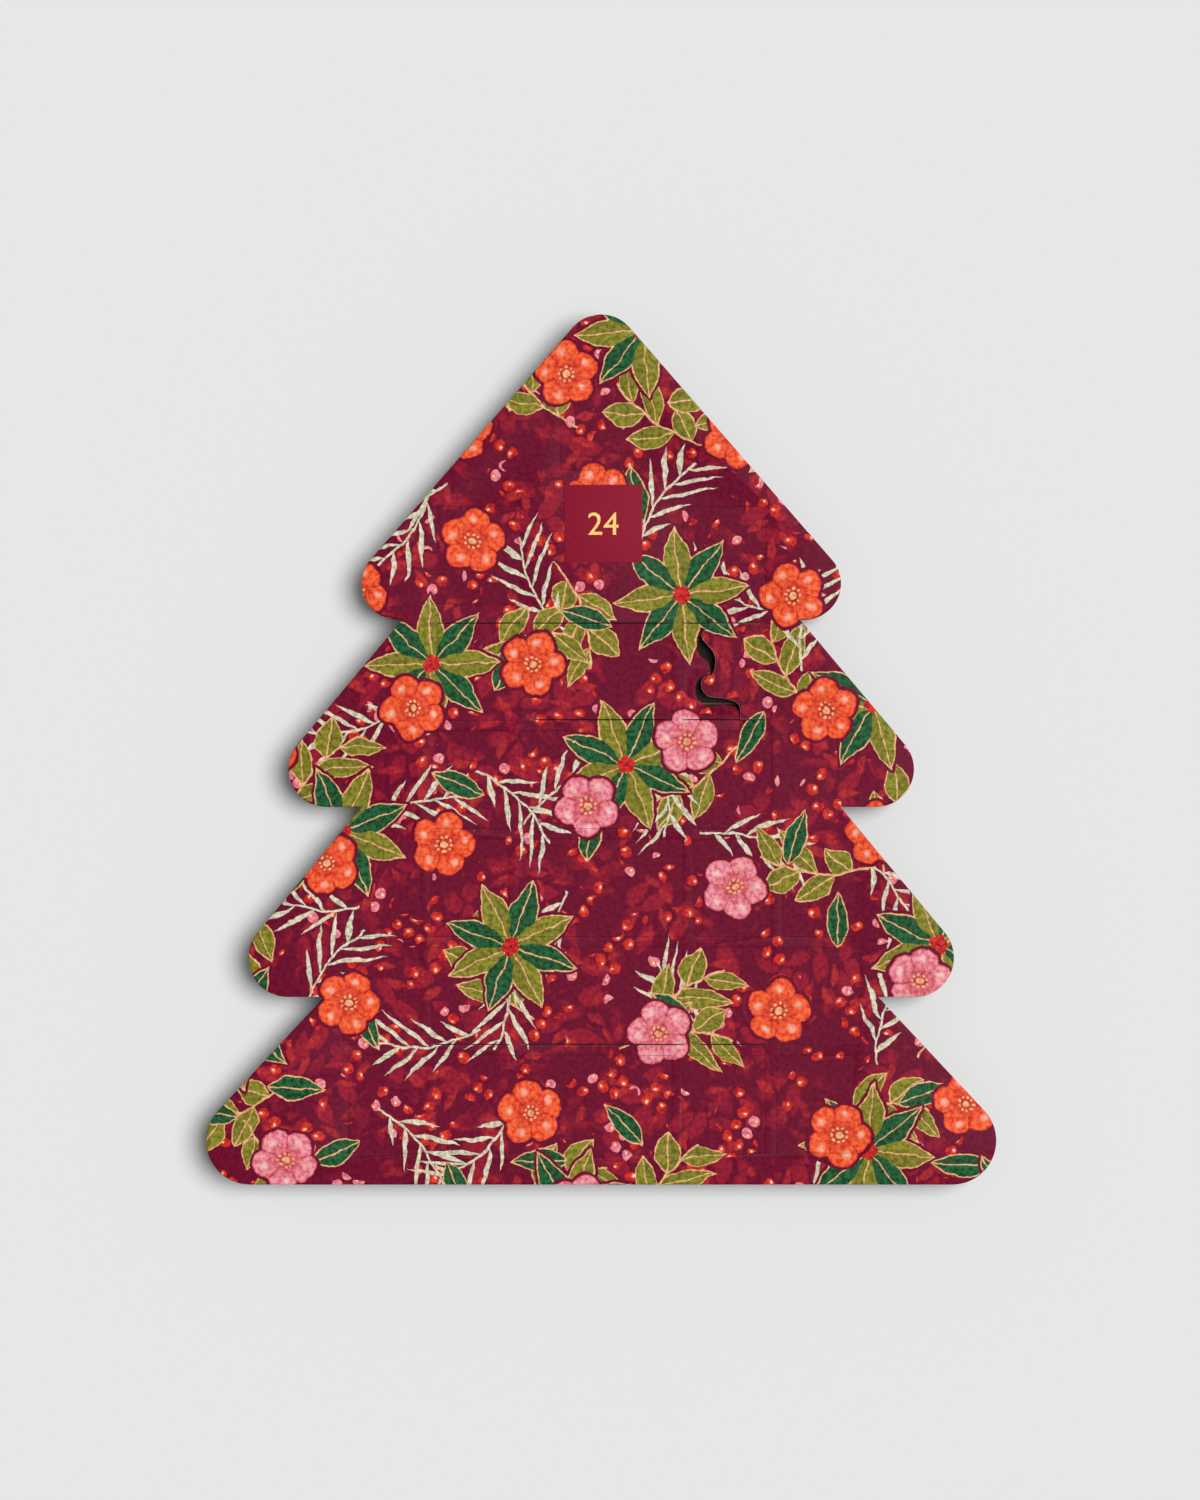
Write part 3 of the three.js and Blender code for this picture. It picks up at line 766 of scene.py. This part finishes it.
def widen(bm, low, high, seams):
    """Moves a door's straight sides out until they leave the given seams: left, right, foot and top."""
    left, right, foot, top = seams
    for v in bm.verts:
        if abs(v.co.x - low.x) < SAME_PLACE:
            v.co.x -= CUT_GAP - left
        elif abs(v.co.x - high.x) < SAME_PLACE:
            v.co.x += CUT_GAP - right
        if abs(v.co.y - low.y) < SAME_PLACE:
            v.co.y -= CUT_GAP - foot
        elif abs(v.co.y - high.y) < SAME_PLACE:
            v.co.y += CUT_GAP - top


def outline_edges(bm):
    """The edges between a board's flat sides and its cut sides."""
    found = []
    for edge in bm.edges:
        if len(edge.link_faces) == 2:
            tilts = sorted(abs(f.normal.z) for f in edge.link_faces)
            if tilts[0] < 0.01 and tilts[1] > 0.99:
                found.append(edge)
    return found


print(f"seams of {CREASE_SEAM / MM:.2f}, {FINE_SEAM / MM:.2f} and {OPEN_SEAM / MM:.2f} mm")

# %% [markdown]
# ## Doors, part 2: the slit
# The last window has two leaves that meet in a wavy line, and its left leaf is pushed in. Near the line it bends down
# under the front, draws back a little, and lies in the right leaf's shade, which is why the slit looks so dark. A
# cloth simulation could bend it. A falloff with the distance from the line does it in a few lines of code, and it
# can leave the crease, the foot and the top where they are. Along the right leaf's wavy edge the pale card of the cut
# edge is also laid on the faces of its rounding that face up. The colour is the board's own, but the fine pale line
# it makes there is a painted highlight of a lit cut edge.

# %% The slit
SAG = 2.2 * MM
SAG_REACH = 4.5 * MM
DRAWN_BACK = 0.4  # as a share of the slit's width
HELD_END = 6 * MM
HELD_CREASE = 5 * MM


def off_the_sides(point, low, high, leaf):
    """Whether a point on a leaf's outline is on its wavy side, away from its crease, its foot and its top."""
    crease = low.x if leaf == "left" else high.x
    return abs(point.x - crease) > 1 * MM and low.y + 0.1 * MM < point.y < high.y - 0.1 * MM


def wavy_side(name):
    """The points of a leaf's wavy side."""
    low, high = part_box(name)
    points = [v.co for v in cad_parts[name].data.vertices]
    return [p for p in points if off_the_sides(p, low, high, name[8:])]


def slit_edge():
    """Points along the left leaf's wavy side, each with its way from the nearest point of the right leaf's."""
    facing = wavy_side("door_24_right")
    found = []
    for point in wavy_side("door_24_left"):
        nearest = min(facing, key=lambda other: (point - other).xy.length)
        found.append((point.xy, (point - nearest).xy))
    return found


def eased(distance, over):
    """Rises softly from 0 at no distance to 1 at the given one."""
    t = min(max(distance / over, 0), 1)
    return t * t * (3 - 2 * t)


def bend_down(v, low, high, slit):
    """Bends a point of the left leaf down and draws it back from the slit. The leaf's straight sides stay."""
    gaps = [(v.co.xy - point).length for point, way in slit]
    near = min(gaps)
    weights = [math.exp((near - gap) / MM) for gap in gaps]
    ways = (way * weight for (point, way), weight in zip(slit, weights))
    from_facing = sum(ways, Vector((0, 0))) / sum(weights)
    free = eased(min(v.co.y - low.y, high.y - v.co.y), HELD_END) * eased(v.co.x - low.x, HELD_CREASE)
    share = math.exp(-((near / SAG_REACH) ** 2)) * free
    v.co += Vector((*(DRAWN_BACK * from_facing), -SAG)) * share


slit = slit_edge()
print("the slit's left side has", len(slit), "points")

# %% [markdown]
# ## Doors, part 3: printed card
# Card is never quite flat, so each door bows a little and its free edge stands up to a quarter of a millimetre
# proud. That is hardly more than a reflection's width, but without it the closed doors vanish. A fixed seed gives
# each door its own bend, the same at each run. The finish is set before the bend, while up and down are still plain.

# %% Doors
LEAF_GRID = 2 * MM
DOOR_GRID = 7 * MM
LIFT_MM = (0.03, 0.2)
BOW_MM = (0.0, 0.05)
SKEW = (-0.4, 0.4)
chance = random.Random(24)


def paint_board(bm, low, high, leaf):
    """Printed on top, bare below and cut edges between. The right leaf's wavy rim is cut edge even where it faces up,
    a painted highlight.
    """
    bm.normal_update()
    for face in bm.faces:
        n = face.normal.z
        # Pale card on the right leaf's upward rim faces along the slit: the card's own colour, placed as a painted
        # highlight
        pale_edge_highlight = leaf == "right" and off_the_sides(face.calc_center_median(), low, high, leaf)
        is_printed = n > (0.95 if pale_edge_highlight else 0.3)
        face.material_index = PRINTED if is_printed else BARE if n < -0.9 else CUT


door_names = sorted(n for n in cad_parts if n.startswith("door_"))
for name in door_names:
    low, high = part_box(name)
    span = high - low
    leaf = name[8:]  # left or right, or nothing for a whole door
    opened = OPEN_SEAMS.get(name[5:7], "")
    foot, top = (OPEN_SEAM if end in opened else FINE_SEAM for end in ("foot", "top"))
    door = copy_of(name)
    if leaf:
        bmesh.ops.remove_doubles(door, verts=door.verts, dist=SAME_PLACE)
    widen(door, low, high, (*SIDE_SEAMS[leaf], foot, top))
    door.normal_update()
    round_edges(door, outline_edges(door), RIM, RIM_STEPS)
    slice_grid(door, low, high, LEAF_GRID if leaf else DOOR_GRID)
    paint_board(door, low, high, leaf)
    lift = chance.uniform(*LIFT_MM) * MM
    bow = chance.uniform(*BOW_MM) * MM
    skew = chance.uniform(*SKEW)
    for v in door.verts:
        u = min(max((v.co.x - low.x) / span.x, 0), 1)
        w = min(max((v.co.y - low.y) / span.y, 0), 1)
        if leaf == "right":
            u = 1 - u
        if leaf == "left":
            bend_down(v, low, high, slit)
        else:
            v.co.z += lift * u * u * (1 + skew * (w - 0.5)) + bow * 4 * w * (1 - w)
    bmesh.ops.remove_doubles(door, verts=door.verts, dist=MERGE)
    piece(f"card_{name}", door, name, BOARD, [name], sharp=15, bent=True)
print("doors:", len(door_names))

# %% [markdown]
# ## Side wall and back
# The wall is a strip of board that follows the outline, wrapped in the same printed paper. The back is a bare board
# that is set in by a millimetre. Both solids have the right shape already, so the wall only gets its finish, and the
# back's lower edge, which a hand would meet, is rounded a little.

# %% Side wall and back panel
BACK_ROUND = 0.3 * MM

wall = copy_of("side_wall")
for face in wall.faces:
    face.material_index = BARE if abs(face.normal.z) > 0.9 else PRINTED
side_wall = piece("wrapped_wall", wall, "case", BOARD, ["side_wall"])
# Lit from the right, the red wall would throw a pink glow on the floor, and the picture shows none. So the wall
# takes no part in bounced light. What it blocks stays blocked, which keeps the soft shadow grey.
side_wall.visible_diffuse = False

back = copy_of("back_panel")
lower = [e for e in outline_edges(back) if max(v.co.z for v in e.verts) < 0.5 * MM]
round_edges(back, lower, BACK_ROUND, 2)
back_panel = piece("back_board", back, "case", [bare_card], ["back_panel"])
print(f"wall {len(side_wall.data.polygons)} faces, back {len(back_panel.data.polygons)} faces")

# %% [markdown]
# ## Tray, part 1: the plastic
# The tray is one thermoformed sheet of polyester, 0.6 mm thick and chocolate brown. It is glossy and a little uneven
# where it was stretched, so to the eye its reflections waver. A noise eight millimetres wide gives it the waves, and
# a much finer one breaks its gloss.

# %% Tray plastic
tray_plastic, tree = new_material("thermoformed_polyester_sheet")
in_mm = places_in_mm(tree)
drawn = add(tree, "TexNoise", {"Vector": in_mm, "Scale": 0.12, "Detail": 2.0})
brown = two_tones(tree, drawn.outputs["Fac"], 0.3, 0.7, "#2c1911", "#3d251a")
haze = add(tree, "TexNoise", {"Vector": in_mm, "Scale": 2.5, "Detail": 3.0})
rough = add(tree, "MapRange", [haze.outputs["Fac"], 0.3, 0.7, 0.2, 0.36])
relief = add(tree, "Bump", {"Height": drawn.outputs["Fac"], "Strength": 0.4, "Distance": 0.4 * MM})
shader = add(tree, "BsdfPrincipled", {"Base Color": brown, "Roughness": rough, "Normal": relief, "IOR": 1.57})
add(tree, "OutputMaterial", [shader])
print("tray plastic:", len(tree.nodes), "nodes")

# %% [markdown]
# ## Tray, part 2: a pocket's profile
# Plastic that is drawn into a mould keeps round corners everywhere. Cutting boxes out of a block would leave sharp
# ones, so each pocket is made from its mouth downwards: one rounded rectangle is extruded again and again, each time
# a little lower and a little smaller. Its steps are worked out here, through a rounded rim, a wall that slants so
# that the sheet comes off its mould, and a rounded floor.

# %% Pocket profile
POCKET_MARGIN = 0.5 * MM
POCKET_CORNER = 3.2 * MM
CORNER_STEPS = 5
MOUTH_ROUND = 0.8 * MM
MOUTH_STEPS = 3
FOOT_ROUND = 2.4 * MM
FOOT_STEPS = 5
WALL_ANGLE = math.radians(85)
DRAFT = math.tan(math.radians(5))
SHEET_TOP = 15.0 * MM
SHEET = 0.6 * MM
FLOOR = 2.1 * MM


def pocket_profile():
    """Steps down a pocket's wall, as depth under the sheet and distance in from the mouth."""
    steps = []
    for i in range(1, MOUTH_STEPS + 1):
        turn = WALL_ANGLE * i / MOUTH_STEPS
        steps.append((MOUTH_ROUND * (1 - math.cos(turn)), MOUTH_ROUND * math.sin(turn) - MOUTH_ROUND))
    deep = SHEET_TOP - FLOOR
    wall_end = deep - FOOT_ROUND
    steps.append((wall_end, wall_end * DRAFT))
    for i in range(1, FOOT_STEPS + 1):
        turn = WALL_ANGLE * i / FOOT_STEPS
        steps.append((wall_end + FOOT_ROUND * math.sin(turn), wall_end * DRAFT + FOOT_ROUND * (1 - math.cos(turn))))
    steps[-1] = (deep, steps[-1][1])
    return steps


def window_boxes():
    """Each window's lowest and highest corner: its door's box grown by the cut round it."""
    boxes = {}
    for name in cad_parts:
        if name.startswith("door_"):
            low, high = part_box(name)
            old = boxes.get(name[5:7], (low, high))
            boxes[name[5:7]] = (Vector(map(min, old[0], low)), Vector(map(max, old[1], high)))
    grow = Vector((CUT_GAP, CUT_GAP, 0))
    return {k: (a - grow, b + grow) for k, (a, b) in sorted(boxes.items())}


windows = window_boxes()
print(len(windows), "pockets,", len(pocket_profile()), "steps down each")

# %% [markdown]
# ## Tray, part 3: sinking a pocket
# A pocket starts as a flat rectangle in the sheet, whose corners a bevel makes round. Then come its steps. Only the
# edges of a ring are extruded and not its face, because a face would be left behind at every step. The last ring
# gets a face, and that is the floor.

# %% Sinking a pocket
def sink_pocket(bm, low, high):
    """Makes a pocket in the window between two corners, ring by ring from its mouth to its floor."""
    centre = (low + high) / 2
    wide, long = (high[a] - low[a] - 2 * POCKET_MARGIN + 2 * MOUTH_ROUND for a in (0, 1))
    at = Matrix.Translation((centre.x, centre.y, SHEET_TOP)) @ Matrix.Diagonal((wide, long, 1, 1))
    lid = bmesh.ops.create_grid(bm, x_segments=1, y_segments=1, size=0.5, matrix=at)["verts"][0].link_faces[0]
    bmesh.ops.bevel(
        bm,
        geom=lid.verts[:],
        offset=POCKET_CORNER + MOUTH_ROUND,
        offset_type="OFFSET",
        segments=CORNER_STEPS,
        profile=0.5,
        affect="VERTICES",
        material=-1,
    )
    in_the_middle = [f for f in bm.faces if (f.calc_center_median() - centre).xy.length < 1 * MM]
    lid = max(in_the_middle, key=lambda f: f.calc_area())
    ring = lid.edges[:]
    bmesh.ops.delete(bm, geom=[lid], context="FACES_ONLY")
    down, inwards = 0.0, -MOUTH_ROUND
    for depth_now, inset_now in pocket_profile():
        made = bmesh.ops.extrude_edge_only(bm, edges=ring)["geom"]
        points = [g for g in made if isinstance(g, bmesh.types.BMVert)]
        ring = [g for g in made if isinstance(g, bmesh.types.BMEdge) and set(g.verts) <= set(points)]
        bmesh.ops.translate(bm, verts=points, vec=(0, 0, down - depth_now))
        breadth = [max(v.co[a] for v in points) - min(v.co[a] for v in points) for a in (0, 1)]
        scale = [1 - 2 * (inset_now - inwards) / b for b in breadth]
        bmesh.ops.scale(bm, vec=(*scale, 1), verts=points, space=Matrix.Translation(-centre))
        down, inwards = depth_now, inset_now
    bmesh.ops.contextual_create(bm, geom=ring)


floor_inset = pocket_profile()[-1][1]
print(f"a pocket's floor is {2 * floor_inset / MM:.1f} mm narrower than its mouth")

# %% [markdown]
# ## Tray, part 4: the sheet
# The solid's own pockets are cut off under the sheet, which leaves the edge round the tray. Each window then gets
# its pocket, and one flat fill closes what lies between the pockets and the tray's edge. A Solidify modifier gives
# the whole sheet its thickness, downwards, so that its top stays where it is.

# %% Tray
tray = copy_of("pocket_tray")
sheet_low = [v for v in tray.verts if v.co.z < SHEET_TOP - 0.01 * MM]
bmesh.ops.delete(tray, geom=sheet_low, context="VERTS")
bmesh.ops.delete(tray, geom=tray.faces[:], context="FACES_ONLY")
inside_windows = []
for edge in tray.edges:
    middle = (edge.verts[0].co + edge.verts[1].co) / 2
    for low, high in windows.values():
        if low.x < middle.x < high.x and low.y < middle.y < high.y:
            inside_windows.append(edge)
            break
bmesh.ops.delete(tray, geom=inside_windows, context="EDGES")
loose = [v for v in tray.verts if not v.link_edges]
bmesh.ops.delete(tray, geom=loose, context="VERTS")

for low, high in windows.values():
    sink_pocket(tray, low, high)
open_edges = [e for e in tray.edges if len(e.link_faces) < 2]
bmesh.ops.triangle_fill(tray, use_beauty=True, edges=open_edges, normal=(0, 0, 1))
bmesh.ops.recalc_face_normals(tray, faces=tray.faces)
if sum(f.normal.z * f.calc_area() for f in tray.faces) < 0:
    bmesh.ops.reverse_faces(tray, faces=tray.faces)
moulded_tray = piece("moulded_tray", tray, "case", [tray_plastic], ["pocket_tray"], sharp=50)
thick = moulded_tray.modifiers.new("sheet", "SOLIDIFY")
thick.thickness = SHEET
thick.offset = -1
print(f"tray: {len(windows)} pockets, {len(moulded_tray.data.polygons)} faces")

# %% [markdown]
# ## Label, part 1: paper and gold foil
# A square of thin crimson paper is stuck on above the middle. It is dyed right through and matt, so to the eye it is
# one deep, even red. The gold is hot-stamped, a foil that a heated die presses on. It is metal, and a faintly uneven
# gloss tells it from yellow ink.

# %% Label paper and gold foil
label_paper, tree = new_material("matt_dyed_paper")
in_mm = places_in_mm(tree)
fibre = add(tree, "TexNoise", {"Vector": in_mm, "Scale": 1.1, "Detail": 4.0, "Roughness": 0.7})
dye = two_tones(tree, fibre.outputs["Fac"], 0.35, 0.65, "#88122a", "#931c34")
relief = add(tree, "Bump", {"Height": fibre.outputs["Fac"], "Strength": 0.15, "Distance": 0.04 * MM})
finish = {"Base Color": dye, "Roughness": 0.6, "Specular IOR Level": 0.08, "Normal": relief}
shader = add(tree, "BsdfPrincipled", finish)
add(tree, "OutputMaterial", [shader])

gold_foil, tree = new_material("hot_stamped_gold_foil")
in_mm = places_in_mm(tree)
press = add(tree, "TexNoise", {"Vector": in_mm, "Scale": 0.9, "Detail": 3.0})
gold = two_tones(tree, press.outputs["Fac"], 0.3, 0.7, "#c9964f", "#e3b877")
rough = add(tree, "MapRange", [press.outputs["Fac"], 0.3, 0.7, 0.3, 0.42])
shader = add(tree, "BsdfPrincipled", {"Base Color": gold, "Roughness": rough, "Metallic": 1.0})
add(tree, "OutputMaterial", [shader])
print("gold foil:", len(tree.nodes), "nodes")

# %% [markdown]
# ## Label, part 2: the numeral
# The label holds a plain 24. The numeral could be painted on in the material, but as a thin solid it catches light
# on its edges and stays sharp in a close view. So it is written as text, made a mesh, scaled to its height and
# extruded by a few hundredths of a millimetre.

# %% Label and numeral
LABEL_RIM = 0.06 * MM
PAPER_DROP = 0.05 * MM  # how far the paper lies under its solid's top, to leave room for the foil
FOIL_RISE = 0.04 * MM
NUMERAL_HEIGHT = 9.5 * MM

low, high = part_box("label")
paper_top = high.z - PAPER_DROP
label = copy_of("label")
for v in label.verts:
    if v.co.z > high.z - 0.01 * MM:
        v.co.z = paper_top
top_rim = [e for e in outline_edges(label) if min(v.co.z for v in e.verts) > low.z + 0.1 * MM]
round_edges(label, top_rim, LABEL_RIM, 2)
piece("paper_label", label, "case", [label_paper], ["label"])

letters = bpy.data.curves.new("numeral", "FONT")
letters.body = "24"
letters.size = 1
letters.align_x = "CENTER"
text = bpy.data.objects.new("numeral", letters)
bpy.context.scene.collection.objects.link(text)
numeral_data = bpy.data.meshes.new_from_object(text)
bpy.data.objects.remove(text)
numeral = bmesh.new()
numeral.from_mesh(numeral_data)
bmesh.ops.remove_doubles(numeral, verts=numeral.verts, dist=1e-5)
spans = [[f(v.co[a] for v in numeral.verts) for f in (min, max)] for a in (0, 1)]
growth = NUMERAL_HEIGHT / (spans[1][1] - spans[1][0])
middle = (low + high) / 2
bmesh.ops.translate(numeral, verts=numeral.verts, vec=(-sum(spans[0]) / 2, -sum(spans[1]) / 2, 0))
bmesh.ops.scale(numeral, verts=numeral.verts, vec=(growth, growth, 1))
bmesh.ops.translate(numeral, verts=numeral.verts, vec=(middle.x, middle.y, paper_top))
raised = bmesh.ops.extrude_face_region(numeral, geom=numeral.faces[:], use_keep_orig=True)["geom"]
raised_points = [g for g in raised if isinstance(g, bmesh.types.BMVert)]
bmesh.ops.translate(numeral, verts=raised_points, vec=(0, 0, FOIL_RISE))
bmesh.ops.recalc_face_normals(numeral, faces=numeral.faces)
piece("gold_numeral", numeral, "case", [gold_foil])
print("label with a numeral", round(NUMERAL_HEIGHT / MM, 1), "mm tall")

# %% [markdown]
# ## Chocolates, part 1: foil and sleeve paper
# Each chocolate is a small bar in aluminium foil with a paper sleeve round its middle. Foil that is folded round a
# bar creases all over. The creases could be sculpted, but they are only tenths of a millimetre deep, so a relief in
# the material does for them. To the eye it breaks the metal's reflections into small bright facets. The sleeve's
# paper is coated and has a fine line along each edge. There are four wraps, and the cocoa coloured sleeve has the
# darkest line. One of them lies under the slit, so its dark cocoa paper is also painted shade for the slit's inside.

# %% Foil and sleeve papers
LINE_START, LINE_END = 1.5, 2.1  # in millimetres from the sleeve's edge


def foil(name, dark, light):
    """Lacquered aluminium foil: metal, with creases a few millimetres apart that run to the folded ends."""
    material, tree = new_material(name)
    in_mm = places_in_mm(tree)
    pulled = add(tree, "Mapping", {"Vector": in_mm, "Scale": (1.5, 0.6, 1)})
    creases = add(tree, "TexVoronoi", {"Vector": pulled, "Scale": 0.28}, feature="DISTANCE_TO_EDGE")
    fine = add(tree, "TexNoise", {"Vector": in_mm, "Scale": 0.9, "Detail": 4.0, "Distortion": 1.0})
    folded = add(tree, "Math", [creases.outputs["Distance"], 0.12], operation="MINIMUM")
    crumple = add(tree, "Math", [folded, 4.0, fine.outputs["Fac"]], operation="MULTIPLY_ADD")
    colour = two_tones(tree, fine.outputs["Fac"], 0.35, 0.65, dark, light)
    relief = add(tree, "Bump", {"Height": crumple, "Strength": 0.55, "Distance": 0.35 * MM})
    finish = {"Base Color": colour, "Normal": relief, "Metallic": 1.0, "Roughness": 0.3}
    shader = add(tree, "BsdfPrincipled", finish)
    add(tree, "OutputMaterial", [shader])
    return material


def sleeve_paper(name, dark, light, line_colour):
    """Thin coated paper with a fine line along each edge of the sleeve, placed by the piece's own attribute."""
    material, tree = new_material(name)
    in_mm = places_in_mm(tree)
    grain = add(tree, "TexNoise", {"Vector": in_mm, "Scale": 1.4, "Detail": 3.0})
    base = two_tones(tree, grain.outputs["Fac"], 0.3, 0.7, dark, light)
    edge = add(tree, "Attribute", attribute_name="from_edge")
    after = add(tree, "Math", [edge.outputs["Fac"], LINE_START], operation="GREATER_THAN")
    before = add(tree, "Math", [edge.outputs["Fac"], LINE_END], operation="LESS_THAN")
    line = add(tree, "Math", [after, before], operation="MULTIPLY")
    base = add(tree, "Mix", {0: line, 6: base, 7: linear(line_colour)}, data_type="RGBA")
    relief = add(tree, "Bump", {"Height": grain.outputs["Fac"], "Strength": 0.1, "Distance": 0.05 * MM})
    finish = {"Base Color": base, "Normal": relief, "Roughness": 0.5, "Specular IOR Level": 0.15}
    shader = add(tree, "BsdfPrincipled", finish)
    add(tree, "OutputMaterial", [shader])
    return material


# Foil with its dark and light tones, and sleeve with its tones and the colour of its lines, by material slot
WRAPS = {
    "gold_wrap": (("gold_foil", "#b9822e", "#e0b160"), ("wine_sleeve", "#5e0f2b", "#701838", "#d8b06a")),
    "red_wrap": (("red_foil", "#7d1424", "#ab2436"), ("cream_sleeve", "#e2d4b6", "#ebdfc6", "#8e1b31")),
    "cream_wrap": (("pale_foil", "#cdbd98", "#efe4c8"), ("green_sleeve", "#144a2e", "#1d5a3a", "#e4d6b0")),
    # The cocoa sleeve is cocoa paper and also painted shade: it is this dark so that the slit above it looks shaded
    "green_wrap": (("green_foil", "#0e3a24", "#1a5a3a"), ("cocoa_sleeve", "#190d08", "#27170f", "#6e4c2a")),
}
wraps = [(slot, foil(*metal), sleeve_paper(*paper)) for slot, (metal, paper) in WRAPS.items()]
print(len(wraps), "wraps")

# %% [markdown]
# ## Chocolates, part 2: bars in foil
# Foil stays sharp along a bar's edges, wrinkles at its folded ends and shows the bar's slightly domed top. A bar is a
# block with rounded edges, cut along a grid. Moving the grid's points gives it the dome, and small random moves give
# it the folds. Its foot stays flat, since it lies on the tray.

# %% Bars in foil
PAPER = 0.15 * MM
BAR_ROUND = 1.0 * MM
BAR_GRID = 3.2 * MM
DOME_MM = 0.45
FOLD_START = 0.72  # as a share of the way from the bar's middle to its end
FOLD_MM = 0.35
FLAT_FOOT = 1.5 * MM


def block(low, high):
    """A plain block between two corners, to be worked on."""
    bm = bmesh.new()
    at = Matrix.Translation((low + high) / 2) @ Matrix.Diagonal((*(high - low), 1))
    bmesh.ops.create_cube(bm, size=1, matrix=at)
    return bm


def foil_bar(low, high):
    """A bar with rounded edges, a domed top and folded, wrinkled ends."""
    bar = block(low, high)
    round_edges(bar, bar.edges[:], BAR_ROUND, 3)
    slice_grid(bar, low, high, BAR_GRID)
    half = (high - low) / 2
    for v in bar.verts:
        across = (v.co.x - low.x) / half.x - 1
        along = (v.co.y - low.y) / half.y - 1
        dome = (1 - across * across) * (1 - along * along)
        folds = max(0, abs(along) - FOLD_START) / (1 - FOLD_START)
        if v.co.z > low.z + FLAT_FOOT:
            v.co.z -= (DOME_MM * (1 - dome) + folds * FOLD_MM * (1 + chance.random())) * MM
        v.co.y -= along * abs(along) * folds * chance.random() * FOLD_MM * MM
    return bar


print("bars are domed by", DOME_MM, "mm")

# %% [markdown]
# ## Chocolates, part 3: sleeves
# The sleeve is a strip of paper in the wrap's second colour. A block without its ends is already a strip round the
# bar, so only its long edges are rounded, and its wall gets the thickness of paper. Each point keeps its distance
# from the sleeve's nearest edge in an attribute, and from that the material draws the lines.

# %% Sleeves
SLEEVE_SHARE = 0.42  # half of the sleeve's length, as a share of the chocolate's
SLEEVE_ROUND = 0.9 * MM
SLEEVE_GRID = 3 * MM


def sleeve_round(low, high):
    """A strip of paper round a bar, with the distance from its nearest edge in millimetres at each point."""
    sleeve = block(low, high)
    ends = [f for f in sleeve.faces if abs(f.normal.y) > 0.9]
    bmesh.ops.delete(sleeve, geom=ends, context="FACES_ONLY")
    long_edges = [e for e in sleeve.edges if len(e.link_faces) == 2]
    round_edges(sleeve, long_edges, SLEEVE_ROUND, 3)
    bmesh.ops.solidify(sleeve, geom=sleeve.faces[:], thickness=PAPER)
    slice_grid(sleeve, low, high, SLEEVE_GRID)
    from_edge = sleeve.verts.layers.float.new("from_edge")
    for v in sleeve.verts:
        v[from_edge] = min(v.co.y - low.y, high.y - v.co.y) / MM
    return sleeve


chocolates = sorted(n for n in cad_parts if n.startswith("chocolate_"))
for i, name in enumerate(chocolates):
    slot, bar_foil, sleeve_stock = wraps[i % len(wraps)]
    low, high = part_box(name)
    inset = Vector((PAPER, PAPER, 0)) * 1.5
    bar = foil_bar(low + inset, high - inset - Vector((0, 0, PAPER * 2)))
    piece(f"foil_{name}", bar, "case", [bar_foil], [name], sharp=40)

    half_length = (high.y - low.y) * SLEEVE_SHARE
    middle = (low.y + high.y) / 2
    sleeve_low = Vector((low.x + PAPER, middle - half_length, low.z))
    sleeve = sleeve_round(sleeve_low, Vector((high.x - PAPER, middle + half_length, high.z)))
    piece(f"sleeve_{name}", sleeve, "case", [sleeve_stock], sharp=40)
print("chocolates:", len(chocolates))

# %% [markdown]
# ## Size and finish
# Dressing a model must not change its size, so the box of the finished scene is printed beside the box of the solids
# it came from, corner by corner.

# %% Size and finish
seen_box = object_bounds()
for what, corners in (("solids", cad_box), ("scene", seen_box)):
    print(what, [[round(c / MM, 2) for c in corner] for corner in corners])
